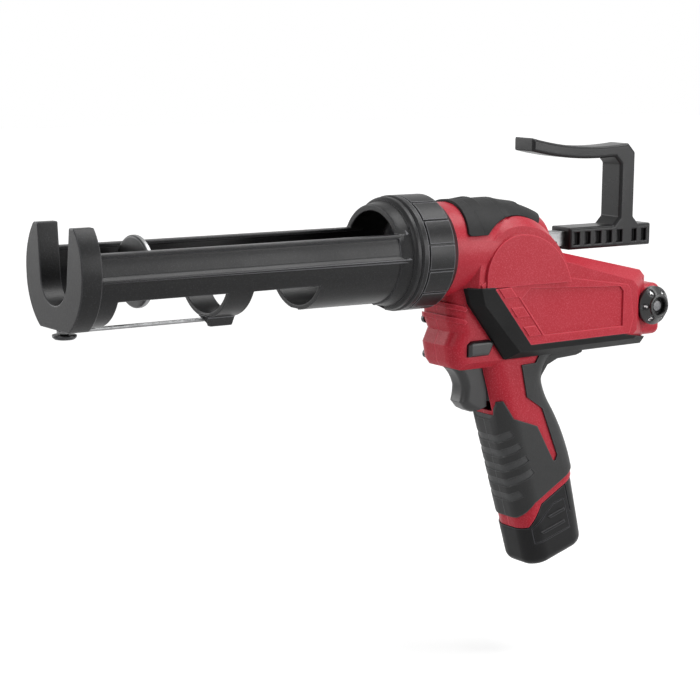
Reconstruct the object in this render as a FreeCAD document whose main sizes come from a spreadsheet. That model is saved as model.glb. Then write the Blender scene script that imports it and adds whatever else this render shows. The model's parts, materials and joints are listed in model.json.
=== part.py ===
import FreeCAD, Part
import math
import os
import Sketcher
from FreeCAD import Placement, Rotation, Vector

# Cordless caulking tool: a rack driven by a motor pushes a piston through an open carriage.
# Frame: +X runs rearward along the barrel axis, the nozzle end is at -X, the left side faces -Y, +Z is up.
# The origin is on the barrel axis, in the plane of the collar's front rim.

doc = FreeCAD.newDocument("cordless_caulking_tool")
sheet = doc.addObject("Spreadsheet::Sheet", "sizes")
sheet_rows = []
sub_parts = []


class Dim:
    """A size: its number now, and the formula over the sheet's cells that gives it."""

    def __init__(self, number, formula):
        self.number = float(number)
        self.formula = formula

    def __float__(self):
        return self.number

    def __neg__(self):
        return Dim(-self.number, f"(0 - {self.formula})")

    def __add__(self, other):
        other = dim(other)
        return Dim(self.number + other.number, f"({self.formula} + {other.formula})")

    def __sub__(self, other):
        other = dim(other)
        return Dim(self.number - other.number, f"({self.formula} - {other.formula})")

    def __mul__(self, other):
        other = dim(other)
        return Dim(self.number * other.number, f"({self.formula} * {other.formula})")

    def __truediv__(self, other):
        other = dim(other)
        return Dim(self.number / other.number, f"({self.formula} / {other.formula})")

    def __radd__(self, other):
        return dim(other) + self

    def __rsub__(self, other):
        return dim(other) - self

    def __rmul__(self, other):
        return dim(other) * self


def dim(value):
    """Any number as a size."""
    if isinstance(value, Dim):
        return value
    number = float(value)
    return Dim(number, f"({number!r})")


def root(value):
    """The square root of a size."""
    return Dim(math.sqrt(value.number), f"sqrt({value.formula})")


def size(alias, number):
    """Write one driving dimension into the sheet, in millimetres unless its name says otherwise."""
    sheet_rows.append(alias)
    row = len(sheet_rows)
    sheet.set(f"A{row}", alias)
    sheet.set(f"B{row}", str(number))
    sheet.setAlias(f"B{row}", alias)
    return Dim(number, f"sizes.{alias}")


# Running clearances
gap = size("gap", 0.35)
bore_gap = size("bore_gap", 0.05)
slide_gap = size("slide_gap", 0.3)

# Carriage
carriage_reach = size("carriage_reach", 231.0)
bay_radius = size("bay_radius", 27.0)
carriage_wall = size("carriage_wall", 3.0)
yoke_thick = size("yoke_thick", 13.0)
yoke_half_width = size("yoke_half_width", 33.5)
yoke_top = size("yoke_top", 29.0)
yoke_bottom = size("yoke_bottom", 29.5)
yoke_prong_half = size("yoke_prong_half", 24.0)
yoke_flat_half = size("yoke_flat_half", 17.0)
yoke_side_radius = size("yoke_side_radius", 37.0)
yoke_mouth_half = size("yoke_mouth_half", 18.8)
yoke_slot_radius = size("yoke_slot_radius", 15.8)
rail_top = size("rail_top", 14.6)
rail_bottom = size("rail_bottom", 12.8)
rail_lip_depth = size("rail_lip_depth", 2.4)
rail_lip_reach = size("rail_lip_reach", 2.6)
rail_ridge_top = size("rail_ridge_top", 3.6)
rail_ridge_drop = size("rail_ridge_drop", 5.2)
rail_ridge_reach = size("rail_ridge_reach", 1.9)
front_hoop_length = size("front_hoop_length", 13.0)
middle_hoop_front = size("middle_hoop_front", 133.5)
middle_hoop_length = size("middle_hoop_length", 17.5)
trough_length = size("trough_length", 69.0)
ring_length = size("ring_length", 13.0)
flange_radius = size("flange_radius", 35.2)
flange_length = size("flange_length", 3.4)
flange_step = size("flange_step", 1.7)
sleeve_radius = size("sleeve_radius", 31.0)
sleeve_length = size("sleeve_length", 15.0)
clip_length = size("clip_length", 20.0)
clip_width = size("clip_width", 10.0)
clip_drop = size("clip_drop", 5.0)

# Seal punch under the carriage
punch_radius = size("punch_radius", 1.2)
punch_reach = size("punch_reach", 104.0)
punch_button_radius = size("punch_button_radius", 7.0)
punch_button_height = size("punch_button_height", 2.6)
punch_pin_radius = size("punch_pin_radius", 2.5)
punch_eye_wall = size("punch_eye_wall", 1.8)
punch_eye_thick = size("punch_eye_thick", 1.8)

# Collar and nose
collar_radius = size("collar_radius", 36.0)
collar_length = size("collar_length", 30.0)
collar_rear_radius = size("collar_rear_radius", 32.0)
collar_taper_length = size("collar_taper_length", 5.5)
collar_rim = size("collar_rim", 1.2)
collar_pads = size("collar_pads", 14)
collar_groove_width = size("collar_groove_width", 1.3)
collar_groove_depth = size("collar_groove_depth", 0.9)
collar_band_front = size("collar_band_front", 4.5)
nose_radius = size("nose_radius", 27.5)
nose_bore = size("nose_bore", 24.0)
nose_flange_length = size("nose_flange_length", 5.5)
nose_tail_radius = size("nose_tail_radius", 29.3)
nose_tail_length = size("nose_tail_length", 4.0)

# Rack, piston and hook handle
rack_half_width = size("rack_half_width", 4.0)
rack_top = size("rack_top", 7.0)
rack_bottom = size("rack_bottom", 3.0)
rack_module = size("rack_module", 1.5)
rack_gaps = size("rack_gaps", 56)
rack_teeth_front = size("rack_teeth_front", 126.0)
piston_set = size("piston_set", 50.0)
piston_radius = size("piston_radius", 21.0)
piston_rim = size("piston_rim", 3.2)
piston_hub_radius = size("piston_hub_radius", 10.0)
piston_length = size("piston_length", 13.0)
piston_socket = size("piston_socket", 8.0)
piston_screw_radius = size("piston_screw_radius", 5.0)
piston_screw_shank = size("piston_screw_shank", 2.0)
piston_screw_head = size("piston_screw_head", 2.4)
hook_base_front = size("hook_base_front", 141.0)
hook_base_rear = size("hook_base_rear", 213.5)
hook_half_width = size("hook_half_width", 10.0)
hook_base_top = size("hook_base_top", 9.5)
hook_base_bottom = size("hook_base_bottom", 5.2)
hook_post_front = size("hook_post_front", 184.5)
hook_post_rear = size("hook_post_rear", 197.5)
hook_arm_low = size("hook_arm_low", 55.0)
hook_arm_thick = size("hook_arm_thick", 8.6)
hook_arm_rise = size("hook_arm_rise", 5.4)
hook_arm_bow = size("hook_arm_bow", 240.0)
hook_arm_tip = size("hook_arm_tip", 107.5)
hook_bevel = size("hook_bevel", 1.4)
hook_corner = size("hook_corner", 6.0)
hook_foot = size("hook_foot", 5.0)
hook_windows = size("hook_windows", 5)
hook_window_first = size("hook_window_first", 3.0)
hook_window_pitch = size("hook_window_pitch", 9.5)
hook_window_width = size("hook_window_width", 5.4)
hook_window_last = size("hook_window_last", 4.4)
hook_window_depth = size("hook_window_depth", 3.0)
hook_window_edge = size("hook_window_edge", 3.2)
hook_socket_depth = size("hook_socket_depth", 58.0)
hook_pin_radius = size("hook_pin_radius", 1.5)
hook_pin_cover = size("hook_pin_cover", 1.0)

# Gear train
gear_x = size("gear_x", 81.8)
pinion_teeth = size("pinion_teeth", 13)
spur_module = size("spur_module", 1.0)
output_teeth = size("output_teeth", 42)
idler_teeth = size("idler_teeth", 21)
bevel_module = size("bevel_module", 1.25)
bevel_gear_teeth = size("bevel_gear_teeth", 22)
bevel_pinion_teeth = size("bevel_pinion_teeth", 11)
bevel_face = size("bevel_face", 5.0)
tooth_share = size("tooth_share", 0.40)
tooth_reach = size("tooth_reach", 0.85)
tooth_root = size("tooth_root", 1.25)
bevel_share = size("bevel_share", 0.36)
bevel_reach = size("bevel_reach", 0.7)
bevel_root = size("bevel_root", 1.7)
rack_pinion_half_face = size("rack_pinion_half_face", 5.0)
spur_face = size("spur_face", 7.0)
spur_inner_y = size("spur_inner_y", 15.6)
gear_shaft_radius = size("gear_shaft_radius", 4.0)
bearing_radius = size("bearing_radius", 8.0)
bearing_width = size("bearing_width", 4.8)
left_plate_y = size("left_plate_y", 9.2)
right_plate_y = size("right_plate_y", 15.6)
plate_lobe_radius = size("plate_lobe_radius", 12.5)
gear_room_radius = size("gear_room_radius", 29.0)
gear_room_z = size("gear_room_z", -17.0)
gear_room_half = size("gear_room_half", 26.0)
guide_length = size("guide_length", 8.0)
tail_guide_half = size("tail_guide_half", 8.5)
tail_guide_top = size("tail_guide_top", 11.0)
tail_guide_low = size("tail_guide_low", 8.0)

# Motor line
gearbox_radius = size("gearbox_radius", 18.0)
gearbox_front = size("gearbox_front", 107.0)
gearbox_length = size("gearbox_length", 32.0)
motor_radius = size("motor_radius", 17.5)
motor_length = size("motor_length", 46.0)
motor_cap_radius = size("motor_cap_radius", 15.0)
motor_cap_length = size("motor_cap_length", 7.0)

# Housing shells
shell_wall = size("shell_wall", 2.8)
case_front = size("case_front", 31.0)
case_radius = size("case_radius", 30.2)
case_shoulder = size("case_shoulder", 74.0)
case_waist = size("case_waist", 113.5)
case_waist_radius = size("case_waist_radius", 20.5)
case_tail = size("case_tail", 118.5)
case_tail_radius = size("case_tail_radius", 13.0)
case_bulge = size("case_bulge", 0.68)
drum_left_radius = size("drum_left_radius", 27.3)
drum_reach = size("drum_reach", 42.3)
drum_half = size("drum_half", 31.2)
drum_ring = size("drum_ring", 5.4)
drum_ring_drop = size("drum_ring_drop", 1.8)
drum_flare = size("drum_flare", 5.4)
drum_flare_depth = size("drum_flare_depth", 7.5)
flank_front = size("flank_front", 45.0)
flank_tail = size("flank_tail", 11.0)
flank_bottom = size("flank_bottom", 69.5)
flank_half_front = size("flank_half_front", 30.6)
flank_half_rear = size("flank_half_rear", 24.4)
flank_bevel = size("flank_bevel", 5.5)
flank_bevel_depth = size("flank_bevel_depth", 8.5)
flank_rear_bevel = size("flank_rear_bevel", 14.0)
flank_shoulder = size("flank_shoulder", 20.0)
flank_brow = size("flank_brow", 33.0)
flank_brow_set = size("flank_brow_set", 3.7)
flank_heel = size("flank_heel", 34.0)
flank_corner = size("flank_corner", 4.5)
flank_top_rear = size("flank_top_rear", 20.8)
flank_top_front = size("flank_top_front", 4.5)
cap_length = size("cap_length", 16.0)
cap_round = size("cap_round", 5.0)
cap_half = size("cap_half", 17.0)
cap_top = size("cap_top", 31.0)
cap_bottom = size("cap_bottom", 66.0)
nose_half = size("nose_half", 19.5)
nose_front = size("nose_front", 36.6)
nose_round = size("nose_round", 10.7)
guard_bottom = size("guard_bottom", 76.0)
guard_bevel = size("guard_bevel", 5.0)
guard_rear = size("guard_rear", 101.0)
flank_recess_half = size("flank_recess_half", 15.5)
nose_rib_raise = size("nose_rib_raise", 1.1)
nose_rib_thick = size("nose_rib_thick", 3.2)
nose_rib_drop = size("nose_rib_drop", 2.6)
nose_rib_rear = size("nose_rib_rear", 47.5)
nose_rib_first = size("nose_rib_first", 37.7)
nose_rib_pitch = size("nose_rib_pitch", 8.3)
nose_ribs = size("nose_ribs", 2)
handle_x = size("handle_x", 96.5)
handle_z = size("handle_z", -78.0)
handle_tilt = size("handle_tilt", 17.0)
grip_front = size("grip_front", 26.0)
grip_half_width = size("grip_half_width", 18.5)
grip_corner = size("grip_corner", 13.5)
grip_root = size("grip_root", 20.0)
grip_root_back = size("grip_root_back", 45.0)
grip_web_radius = size("grip_web_radius", 14.0)
grip_waist_share = size("grip_waist_share", 0.25)
grip_waist_back = size("grip_waist_back", 16.5)
grip_swell_back = size("grip_swell_back", 26.0)
grip_foot_back = size("grip_foot_back", 25.0)
grip_waist_at = size("grip_waist_at", 18.0)
grip_swell_at = size("grip_swell_at", 79.0)
grip_foot_at = size("grip_foot_at", 107.0)
foot_front_edge = size("foot_front_edge", 21.5)
foot_knee_at = size("foot_knee_at", 94.0)
foot_knee_edge = size("foot_knee_edge", 10.0)
foot_back_at = size("foot_back_at", 86.0)
web_drop = size("web_drop", 4.8)
web_rear = size("web_rear", 151.0)
web_half = size("web_half", 13.0)
cover_thick = size("cover_thick", 1.2)
pad_thick = size("pad_thick", 1.6)
pad_front = size("pad_front", 44.0)
pad_rear = size("pad_rear", 113.0)
pad_rear_low = size("pad_rear_low", 100.4)
pad_rear_drop = size("pad_rear_drop", 7.0)
pad_low = size("pad_low", 11.0)
pad_lean = size("pad_lean", 3.6)
pad_drum_gap = size("pad_drum_gap", 0.4)
pad_ridges = size("pad_ridges", 3)
pad_ridge_first = size("pad_ridge_first", 52.0)
pad_ridge_pitch = size("pad_ridge_pitch", 21.0)
pad_ridge_length = size("pad_ridge_length", 15.0)
groove_depth = size("groove_depth", 0.8)
grip_band_first = size("grip_band_first", 40.3)
grip_band_pitch = size("grip_band_pitch", 10.6)
grip_band_width = size("grip_band_width", 5.0)
grip_band_depth = size("grip_band_depth", 0.6)
grip_band_rise = size("grip_band_rise", 0.2)
frame_raise = size("frame_raise", 1.2)
louvre_top = size("louvre_top", 23.0)
louvre_pitch = size("louvre_pitch", 6.5)
louvre_bars = size("louvre_bars", 3)
louvre_raise = size("louvre_raise", 0.7)
bumper_notch = size("bumper_notch", 1.6)
bumper_edge = size("bumper_edge", 71.7)
panel_edge = size("panel_edge", 84.5)
panel_sill = size("panel_sill", 58.0)
frame_tail = size("frame_tail", 18.5)
frame_bar = size("frame_bar", 6.6)
panel_rib_width = size("panel_rib_width", 1.3)
panel_rib_raise = size("panel_rib_raise", 0.5)
motor_room_drop = size("motor_room_drop", 14.5)
motor_room_end = size("motor_room_end", 4.0)
handle_roof = size("handle_roof", 2.5)
wire_way_radius = size("wire_way_radius", 5.0)
wire_way_length = size("wire_way_length", 28.0)
wire_way_across = size("wire_way_across", 6.0)
boss_radius = size("boss_radius", 4.2)
screw_radius = size("screw_radius", 1.6)
screw_head_radius = size("screw_head_radius", 3.0)
screw_head_depth = size("screw_head_depth", 2.4)

# Trigger, lock and dial
trigger_front = size("trigger_front", 52.0)
trigger_rear = size("trigger_rear", 74.0)
trigger_bottom = size("trigger_bottom", -106.0)
trigger_half = size("trigger_half", 8.5)
trigger_travel = size("trigger_travel", 6.0)
trigger_hollow = size("trigger_hollow", 34.0)
trigger_brow = size("trigger_brow", 4.0)
trigger_brow_drop = size("trigger_brow_drop", 12.5)
trigger_brow_radius = size("trigger_brow_radius", 24.0)
trigger_set = size("trigger_set", 4.4)
trigger_lip = size("trigger_lip", 7.0)
trigger_lip_set = size("trigger_lip_set", 3.0)
trigger_heel = size("trigger_heel", 12.0)
trigger_round = size("trigger_round", 5.0)
switch_front = size("switch_front", 84.0)
switch_length = size("switch_length", 24.0)
switch_top = size("switch_top", -82.0)
switch_height = size("switch_height", 20.0)
plunger_radius = size("plunger_radius", 2.5)
plunger_reach = size("plunger_reach", 5.0)
lock_x = size("lock_x", 58.5)
lock_z = size("lock_z", -62.0)
lock_half_length = size("lock_half_length", 10.0)
lock_half_height = size("lock_half_height", 4.8)
lock_reach = size("lock_reach", 19.8)
lock_travel = size("lock_travel", 3.0)
lock_bevel = size("lock_bevel", 1.3)
dial_set = size("dial_set", 1.5)
dial_z = size("dial_z", -44.5)
dial_radius = size("dial_radius", 13.0)
dial_end_radius = size("dial_end_radius", 7.4)
dial_height = size("dial_height", 7.5)
dial_base_y = size("dial_base_y", 22.0)
dial_pockets = size("dial_pockets", 6)
dial_pocket_radius = size("dial_pocket_radius", 2.3)
dial_skirt = size("dial_skirt", 2.6)
dial_cup_radius = size("dial_cup_radius", 6.0)
dial_hub_radius = size("dial_hub_radius", 3.4)

# Battery
tower_front = size("tower_front", 22.0)
tower_back = size("tower_back", 18.4)
tower_top = size("tower_top", 47.0)
tower_corner = size("tower_corner", 9.0)
battery_half = size("battery_half", 19.0)
battery_front = size("battery_front", 26.6)
battery_back = size("battery_back", 25.0)
battery_end_back = size("battery_end_back", 21.6)
battery_end = size("battery_end", 136.0)
battery_round = size("battery_round", 7.0)
contact_height = size("contact_height", 9.0)
cell_radius = size("cell_radius", 7.0)
cell_length = size("cell_length", 60.0)
cell_gap = size("cell_gap", 0.1)
latch_front = size("latch_front", 20.0)
latch_back = size("latch_back", 9.0)
latch_top = size("latch_top", 98.0)
latch_low = size("latch_low", 119.0)
latch_slant = size("latch_slant", 10.5)
latch_slant_across = size("latch_slant_across", 19.0)
latch_rib_first = size("latch_rib_first", 104.0)
latch_rib_pitch = size("latch_rib_pitch", 8.0)
latch_rib_width = size("latch_rib_width", 2.0)
latch_rib_raise = size("latch_rib_raise", 0.9)
latch_ribs = size("latch_ribs", 2)
seam_across = size("seam_across", 11.6)
seam_width = size("seam_width", 0.9)
seam_end = size("seam_end", 109.0)
latch_thick = size("latch_thick", 3.0)
latch_travel = size("latch_travel", 1.6)

# Places worked out from the sizes above
carriage_radius = bay_radius + carriage_wall
rack_pitch = math.pi * rack_module
pinion_radius = rack_module * pinion_teeth / 2
pinion_z = rack_module - rack_bottom - pinion_radius
output_radius = spur_module * output_teeth / 2
idler_radius = spur_module * idler_teeth / 2
motor_z = pinion_z - output_radius - idler_radius
bevel_gear_radius = bevel_module * bevel_gear_teeth / 2
bevel_pinion_radius = bevel_module * bevel_pinion_teeth / 2
tooth_slope = math.tan(math.radians(20))
piston_front = carriage_reach - piston_set
gearbox_rear = gearbox_front + gearbox_length
motor_rear = gearbox_rear + motor_length
flank_rear = motor_rear + motor_cap_length + flank_tail
cap_rear = flank_rear + cap_length
frame_rear = flank_rear - frame_tail
dial_x = flank_rear + dial_set
drum_rear = gear_x + drum_reach
trigger_top = -guard_bottom - gap

# Lengths that reach clear of the whole part, for cutting tools
BEYOND = 60.0
FAR_BEYOND = 260.0


def register(item, label):
    """Name a finished sub-part and list it for writing."""
    item.Label = label
    sub_parts.append(item)
    return item


def origin_feature(body, role):
    return [item for item in body.Origin.OriginFeatures if item.Role == role][0]


def new_body(label):
    return register(doc.addObject("PartDesign::Body", label), label)


def arc_between(start, end, radius, left_turn):
    """The shorter arc from start to end, in the sketch plane."""
    chord = end.sub(start)
    half = chord.Length / 2
    rise = math.sqrt(max(radius * radius - half * half, 0.0))
    normal = Vector(-chord.y, chord.x, 0).normalize()
    side = 1 if left_turn else -1
    centre = start.add(end).multiply(0.5).add(normal.multiply(side * rise))
    first, last = (start, end) if left_turn else (end, start)
    turn = [math.atan2(p.y - centre.y, p.x - centre.x) for p in (first, last)]
    circle = Part.Circle(centre, Vector(0, 0, 1), radius)
    return Part.ArcOfCircle(circle, turn[0], turn[1])


def tie(sketch, kind, geometry, vertex, value):
    """Hold one corner's distance from the sketch's origin at a size."""
    index = sketch.addConstraint(Sketcher.Constraint(kind, -1, 1, geometry, vertex, value.number))
    sketch.setExpression(f"Constraints[{index}]", value.formula)


def add_loop(sketch, corners):
    """Draw a closed loop. A corner (u, v) ends a straight side; (u, v, radius, left) ends an arc."""
    first_index = sketch.GeometryCount
    count = len(corners)
    places = [Vector(float(corner[0]), float(corner[1]), 0) for corner in corners]
    begins = []
    ends = []
    for number, corner in enumerate(corners):
        start = places[number - 1]
        end = places[number]
        if len(corner) == 2:
            index = sketch.addGeometry(Part.LineSegment(start, end))
            begins.append((index, 1))
            ends.append((index, 2))
            continue
        radius = dim(corner[2])
        index = sketch.addGeometry(arc_between(start, end, radius.number, corner[3]))
        begins.append((index, 1 if corner[3] else 2))
        ends.append((index, 2 if corner[3] else 1))
    for number in range(count):
        following = (number + 1) % count
        sketch.addConstraint(Sketcher.Constraint("Coincident", *ends[number], *begins[following]))
    for number, corner in enumerate(corners):
        index, vertex = ends[number]
        tie(sketch, "DistanceX", index, vertex, dim(corner[0]))
        tie(sketch, "DistanceY", index, vertex, dim(corner[1]))
        if len(corner) > 2:
            radius = dim(corner[2])
            held = sketch.addConstraint(Sketcher.Constraint("Radius", index, radius.number))
            sketch.setExpression(f"Constraints[{held}]", radius.formula)
    return first_index


def add_circle(sketch, u, v, radius):
    """Draw a circle at a place and of a radius from the sheet."""
    u, v, radius = dim(u), dim(v), dim(radius)
    circle = Part.Circle(Vector(u.number, v.number, 0), Vector(0, 0, 1), radius.number)
    index = sketch.addGeometry(circle)
    tie(sketch, "DistanceX", index, 3, u)
    tie(sketch, "DistanceY", index, 3, v)
    held = sketch.addConstraint(Sketcher.Constraint("Radius", index, radius.number))
    sketch.setExpression(f"Constraints[{held}]", radius.formula)


def draw(body, name, role, loops, offset=0, circles=()):
    """A sketch on one of the body's own planes, shifted along its normal."""
    sketch = body.newObject("Sketcher::SketchObject", name)
    sketch.AttachmentSupport = [(origin_feature(body, role), "")]
    sketch.MapMode = "FlatFace"
    sketch.setExpression("AttachmentOffset.Base.z", dim(offset).formula)
    for corners in loops:
        add_loop(sketch, corners)
    for circle in circles:
        add_circle(sketch, *circle)
    return sketch


def pad(body, name, sketch, length, midplane=False, reverse=False):
    feature = body.newObject("PartDesign::Pad", name)
    feature.Profile = sketch
    feature.setExpression("Length", dim(length).formula)
    feature.Midplane = midplane
    feature.Reversed = reverse
    return feature


def cut_through(body, name, sketch):
    """Cut a sketch right through the body, both ways."""
    feature = body.newObject("PartDesign::Pocket", name)
    feature.Profile = sketch
    feature.Type = "ThroughAll"
    feature.Midplane = True
    return feature


def pocket(body, name, sketch, depth, reverse=False):
    feature = body.newObject("PartDesign::Pocket", name)
    feature.Profile = sketch
    feature.setExpression("Length", dim(depth).formula)
    feature.Reversed = reverse
    return feature


def turn_about(body, name, sketch, axis_role):
    feature = body.newObject("PartDesign::Revolution", name)
    feature.Profile = sketch
    feature.ReferenceAxis = (origin_feature(body, axis_role), [""])
    feature.Angle = 360
    return feature


def polar(body, name, features, axis_role, count):
    feature = body.newObject("PartDesign::PolarPattern", name)
    feature.Originals = features
    feature.Axis = (origin_feature(body, axis_role), [""])
    feature.Angle = 360
    feature.setExpression("Occurrences", dim(count).formula)
    body.Tip = feature
    return feature


def edges_where(shape, test):
    """Names of the edges that pass a test."""
    return [f"Edge{number}" for number, edge in enumerate(shape.Edges, 1) if test(edge)]


def chamfer(body, name, base, test, width):
    doc.recompute()
    feature = body.newObject("PartDesign::Chamfer", name)
    feature.Base = (base, edges_where(base.Shape, test))
    feature.setExpression("Size", dim(width).formula)
    return feature


def fillet(body, name, base, test, radius):
    doc.recompute()
    feature = body.newObject("PartDesign::Fillet", name)
    feature.Base = (base, edges_where(base.Shape, test))
    feature.setExpression("Radius", dim(radius).formula)
    return feature


def place(item, x=0, y=0, z=0, rotation=None):
    """Put a sub-part at a point given by sizes, turned by a fixed rotation."""
    item.Placement = Placement(Vector(0, 0, 0), rotation or Rotation())
    for axis, value in zip("xyz", (x, y, z)):
        item.setExpression(f"Placement.Base.{axis}", dim(value).formula)


def box_corners(low_u, low_v, high_u, high_v):
    return [(low_u, low_v), (high_u, low_v), (high_u, high_v), (low_u, high_v)]


def make_carriage():
    """Open cradle for the cartridge: yoke, two rails, hoops, trough and the threaded rear ring."""
    body = new_body("carriage_frame")
    yoke_back = yoke_thick - carriage_reach
    step_out = carriage_radius + (flange_radius - carriage_radius) / 2
    profile = draw(body, "wall_profile", "XZ_Plane", [[
        (yoke_back, bay_radius),
        (sleeve_length, bay_radius),
        (sleeve_length, sleeve_radius),
        (-gap, sleeve_radius),
        (-gap, flange_radius),
        (-flange_length, flange_radius),
        (-flange_length - flange_step, flange_radius - flange_step),
        (-flange_length - flange_step, step_out),
        (-ring_length, step_out - flange_step),
        (-ring_length, carriage_radius),
        (yoke_back, carriage_radius),
    ]])
    turn_about(body, "tube_wall", profile, "X_Axis")
    window_front = yoke_back + front_hoop_length
    middle_back = middle_hoop_length - middle_hoop_front
    beyond = flange_radius * 2
    cut_through(body, "top_opening", draw(body, "top_window", "XZ_Plane", [
        box_corners(yoke_back, rail_top, -ring_length, beyond),
    ]))
    cut_through(body, "lower_openings", draw(body, "lower_windows", "XZ_Plane", [
        box_corners(window_front, -beyond, -middle_hoop_front, -rail_bottom),
        box_corners(middle_back, -beyond, -trough_length, -rail_bottom),
    ]))
    lip_low = rail_top - rail_lip_depth
    lip_inner = root(bay_radius * bay_radius - rail_top * rail_top)
    lip_outer = lip_inner + carriage_wall + rail_lip_reach
    ridge_root = carriage_radius - carriage_wall / 2
    ridge_out = carriage_radius + rail_ridge_reach
    ridge_low = rail_ridge_top - rail_ridge_drop
    rails = []
    for side in (1, -1):
        rails.append([
            (side * lip_inner, rail_top),
            (side * lip_inner, lip_low),
            (side * lip_outer, lip_low),
            (side * lip_outer, rail_top),
        ])
        rails.append([
            (side * ridge_root, rail_ridge_top),
            (side * ridge_root, ridge_low),
            (side * ridge_out, ridge_low),
            (side * ridge_out, ridge_low + rail_ridge_drop / 3),
        ])
    rail_run = carriage_reach - yoke_thick - flange_length
    pad(body, "rail_edges", draw(body, "rail_sections", "YZ_Plane", rails, yoke_back), rail_run)
    outline = draw(body, "yoke_outline", "YZ_Plane", [[
        (yoke_flat_half, -yoke_bottom),
        (yoke_half_width, 0, yoke_side_radius, True),
        (yoke_prong_half, yoke_top, yoke_side_radius, True),
        (yoke_mouth_half, yoke_top),
        (yoke_slot_radius, 0),
        (0, -yoke_slot_radius, yoke_slot_radius, False),
        (-yoke_slot_radius, 0, yoke_slot_radius, False),
        (-yoke_mouth_half, yoke_top),
        (-yoke_prong_half, yoke_top),
        (-yoke_half_width, 0, yoke_side_radius, True),
        (-yoke_flat_half, -yoke_bottom, yoke_side_radius, True),
    ]], -carriage_reach)
    pad(body, "yoke", outline, yoke_thick)
    clip_front = (middle_hoop_length - clip_length) / 2 - middle_hoop_front
    clip_root = carriage_wall / 2 - carriage_radius
    clip_low = -carriage_radius - clip_drop
    clip = draw(body, "clip_outline", "XZ_Plane", [[
        (clip_front, clip_root),
        (clip_front + clip_drop / 2, clip_low),
        (clip_front + clip_length - clip_drop / 2, clip_low),
        (clip_front + clip_length, clip_root),
    ]])
    pad(body, "punch_clip", clip, clip_width, midplane=True)
    groove_half = punch_radius + gap
    groove_top = punch_height() + groove_half
    cut_through(body, "punch_groove_way", draw(body, "punch_groove", "YZ_Plane", [
        box_corners(-groove_half, clip_low - gap, clip_width, groove_top),
    ]))
    return body


def punch_height():
    """Height of the punch wire's axis below the barrel axis."""
    return -yoke_bottom - gap - punch_radius


def make_punch():
    """Wire that opens the cartridge's seal, swinging out on a screw below the yoke."""
    pin_x = yoke_thick / 2 - carriage_reach
    eye_radius = punch_pin_radius + bore_gap + punch_eye_wall
    eye = doc.addObject("Part::Cylinder", "punch_eye")
    eye.setExpression("Radius", eye_radius.formula)
    eye.setExpression("Height", punch_eye_thick.formula)
    place(eye, pin_x, 0, punch_height() - punch_eye_thick / 2)
    rod = doc.addObject("Part::Cylinder", "punch_rod")
    rod.setExpression("Radius", punch_radius.formula)
    rod.setExpression("Height", (punch_reach - punch_pin_radius).formula)
    place(rod, pin_x + punch_pin_radius, 0, punch_height(), Rotation(Vector(0, 1, 0), 90))
    hole = doc.addObject("Part::Cylinder", "punch_hole")
    hole.setExpression("Radius", (punch_pin_radius + bore_gap).formula)
    hole.setExpression("Height", (6 * punch_radius).formula)
    place(hole, pin_x, 0, punch_height() - 3 * punch_radius)
    joined = doc.addObject("Part::Fuse", "punch_solid")
    joined.Base = eye
    joined.Tool = rod
    wire = doc.addObject("Part::Cut", "seal_punch_wire")
    wire.Base = joined
    wire.Tool = hole
    register(wire, "seal_punch_wire")
    screw = new_body("punch_pivot_screw")
    head_top = -2 * (punch_radius + gap)
    profile = draw(screw, "profile", "XZ_Plane", [[
        (0, 0),
        (punch_pin_radius, 0),
        (punch_pin_radius, head_top),
        (punch_button_radius, head_top),
        (punch_button_radius, head_top - punch_button_height / 2),
        (punch_button_radius - punch_button_height / 2, head_top - punch_button_height),
        (0, head_top - punch_button_height),
    ]])
    turn_about(screw, "turned", profile, "Z_Axis")
    place(screw, pin_x, 0, -yoke_bottom)


def make_collar():
    """Ring nut that locks the carriage to the nose, with a band of raised grip pads."""
    body = new_body("lock_collar")
    bore = sleeve_radius + gap
    lip_front = sleeve_length + 2 * gap + nose_flange_length + gap
    taper_start = collar_length - collar_taper_length
    band_radius = collar_radius - collar_groove_depth
    profile = draw(body, "wall_profile", "XZ_Plane", [[
        (0, bore),
        (0, collar_radius - collar_rim),
        (collar_rim, collar_radius),
        (collar_band_front, collar_radius),
        (collar_band_front, band_radius),
        (collar_band_front + collar_groove_width, band_radius),
        (collar_band_front + collar_groove_width, collar_radius),
        (taper_start, collar_radius),
        (taper_start, band_radius),
        (taper_start + collar_groove_width / 2, band_radius),
        (collar_length, collar_rear_radius),
        (collar_length, nose_radius + gap),
        (lip_front, nose_radius + gap),
        (lip_front, bore),
    ]])
    turn_about(body, "ring", profile, "X_Axis")
    slot = draw(body, "pad_groove", "YZ_Plane", [box_corners(
        -collar_groove_width / 2, band_radius, collar_groove_width / 2, collar_radius + collar_rim,
    )], collar_band_front)
    groove = pocket(body, "pad_groove_cut", slot, taper_start - collar_band_front, reverse=True)
    polar(body, "pad_grooves", [groove], "X_Axis", collar_pads)


def make_nose():
    """Fixed sleeve that the collar turns on; its rear flange sits behind the housing's front wall."""
    body = new_body("nose_sleeve")
    front = sleeve_length + 2 * gap
    tail_front = case_front + shell_wall
    profile = draw(body, "wall_profile", "XZ_Plane", [[
        (front, nose_bore),
        (front, sleeve_radius),
        (front + nose_flange_length, sleeve_radius),
        (front + nose_flange_length, nose_radius),
        (tail_front, nose_radius),
        (tail_front, nose_tail_radius),
        (tail_front + nose_tail_length, nose_tail_radius),
        (tail_front + nose_tail_length, nose_bore),
    ]])
    turn_about(body, "sleeve", profile, "X_Axis")


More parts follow.
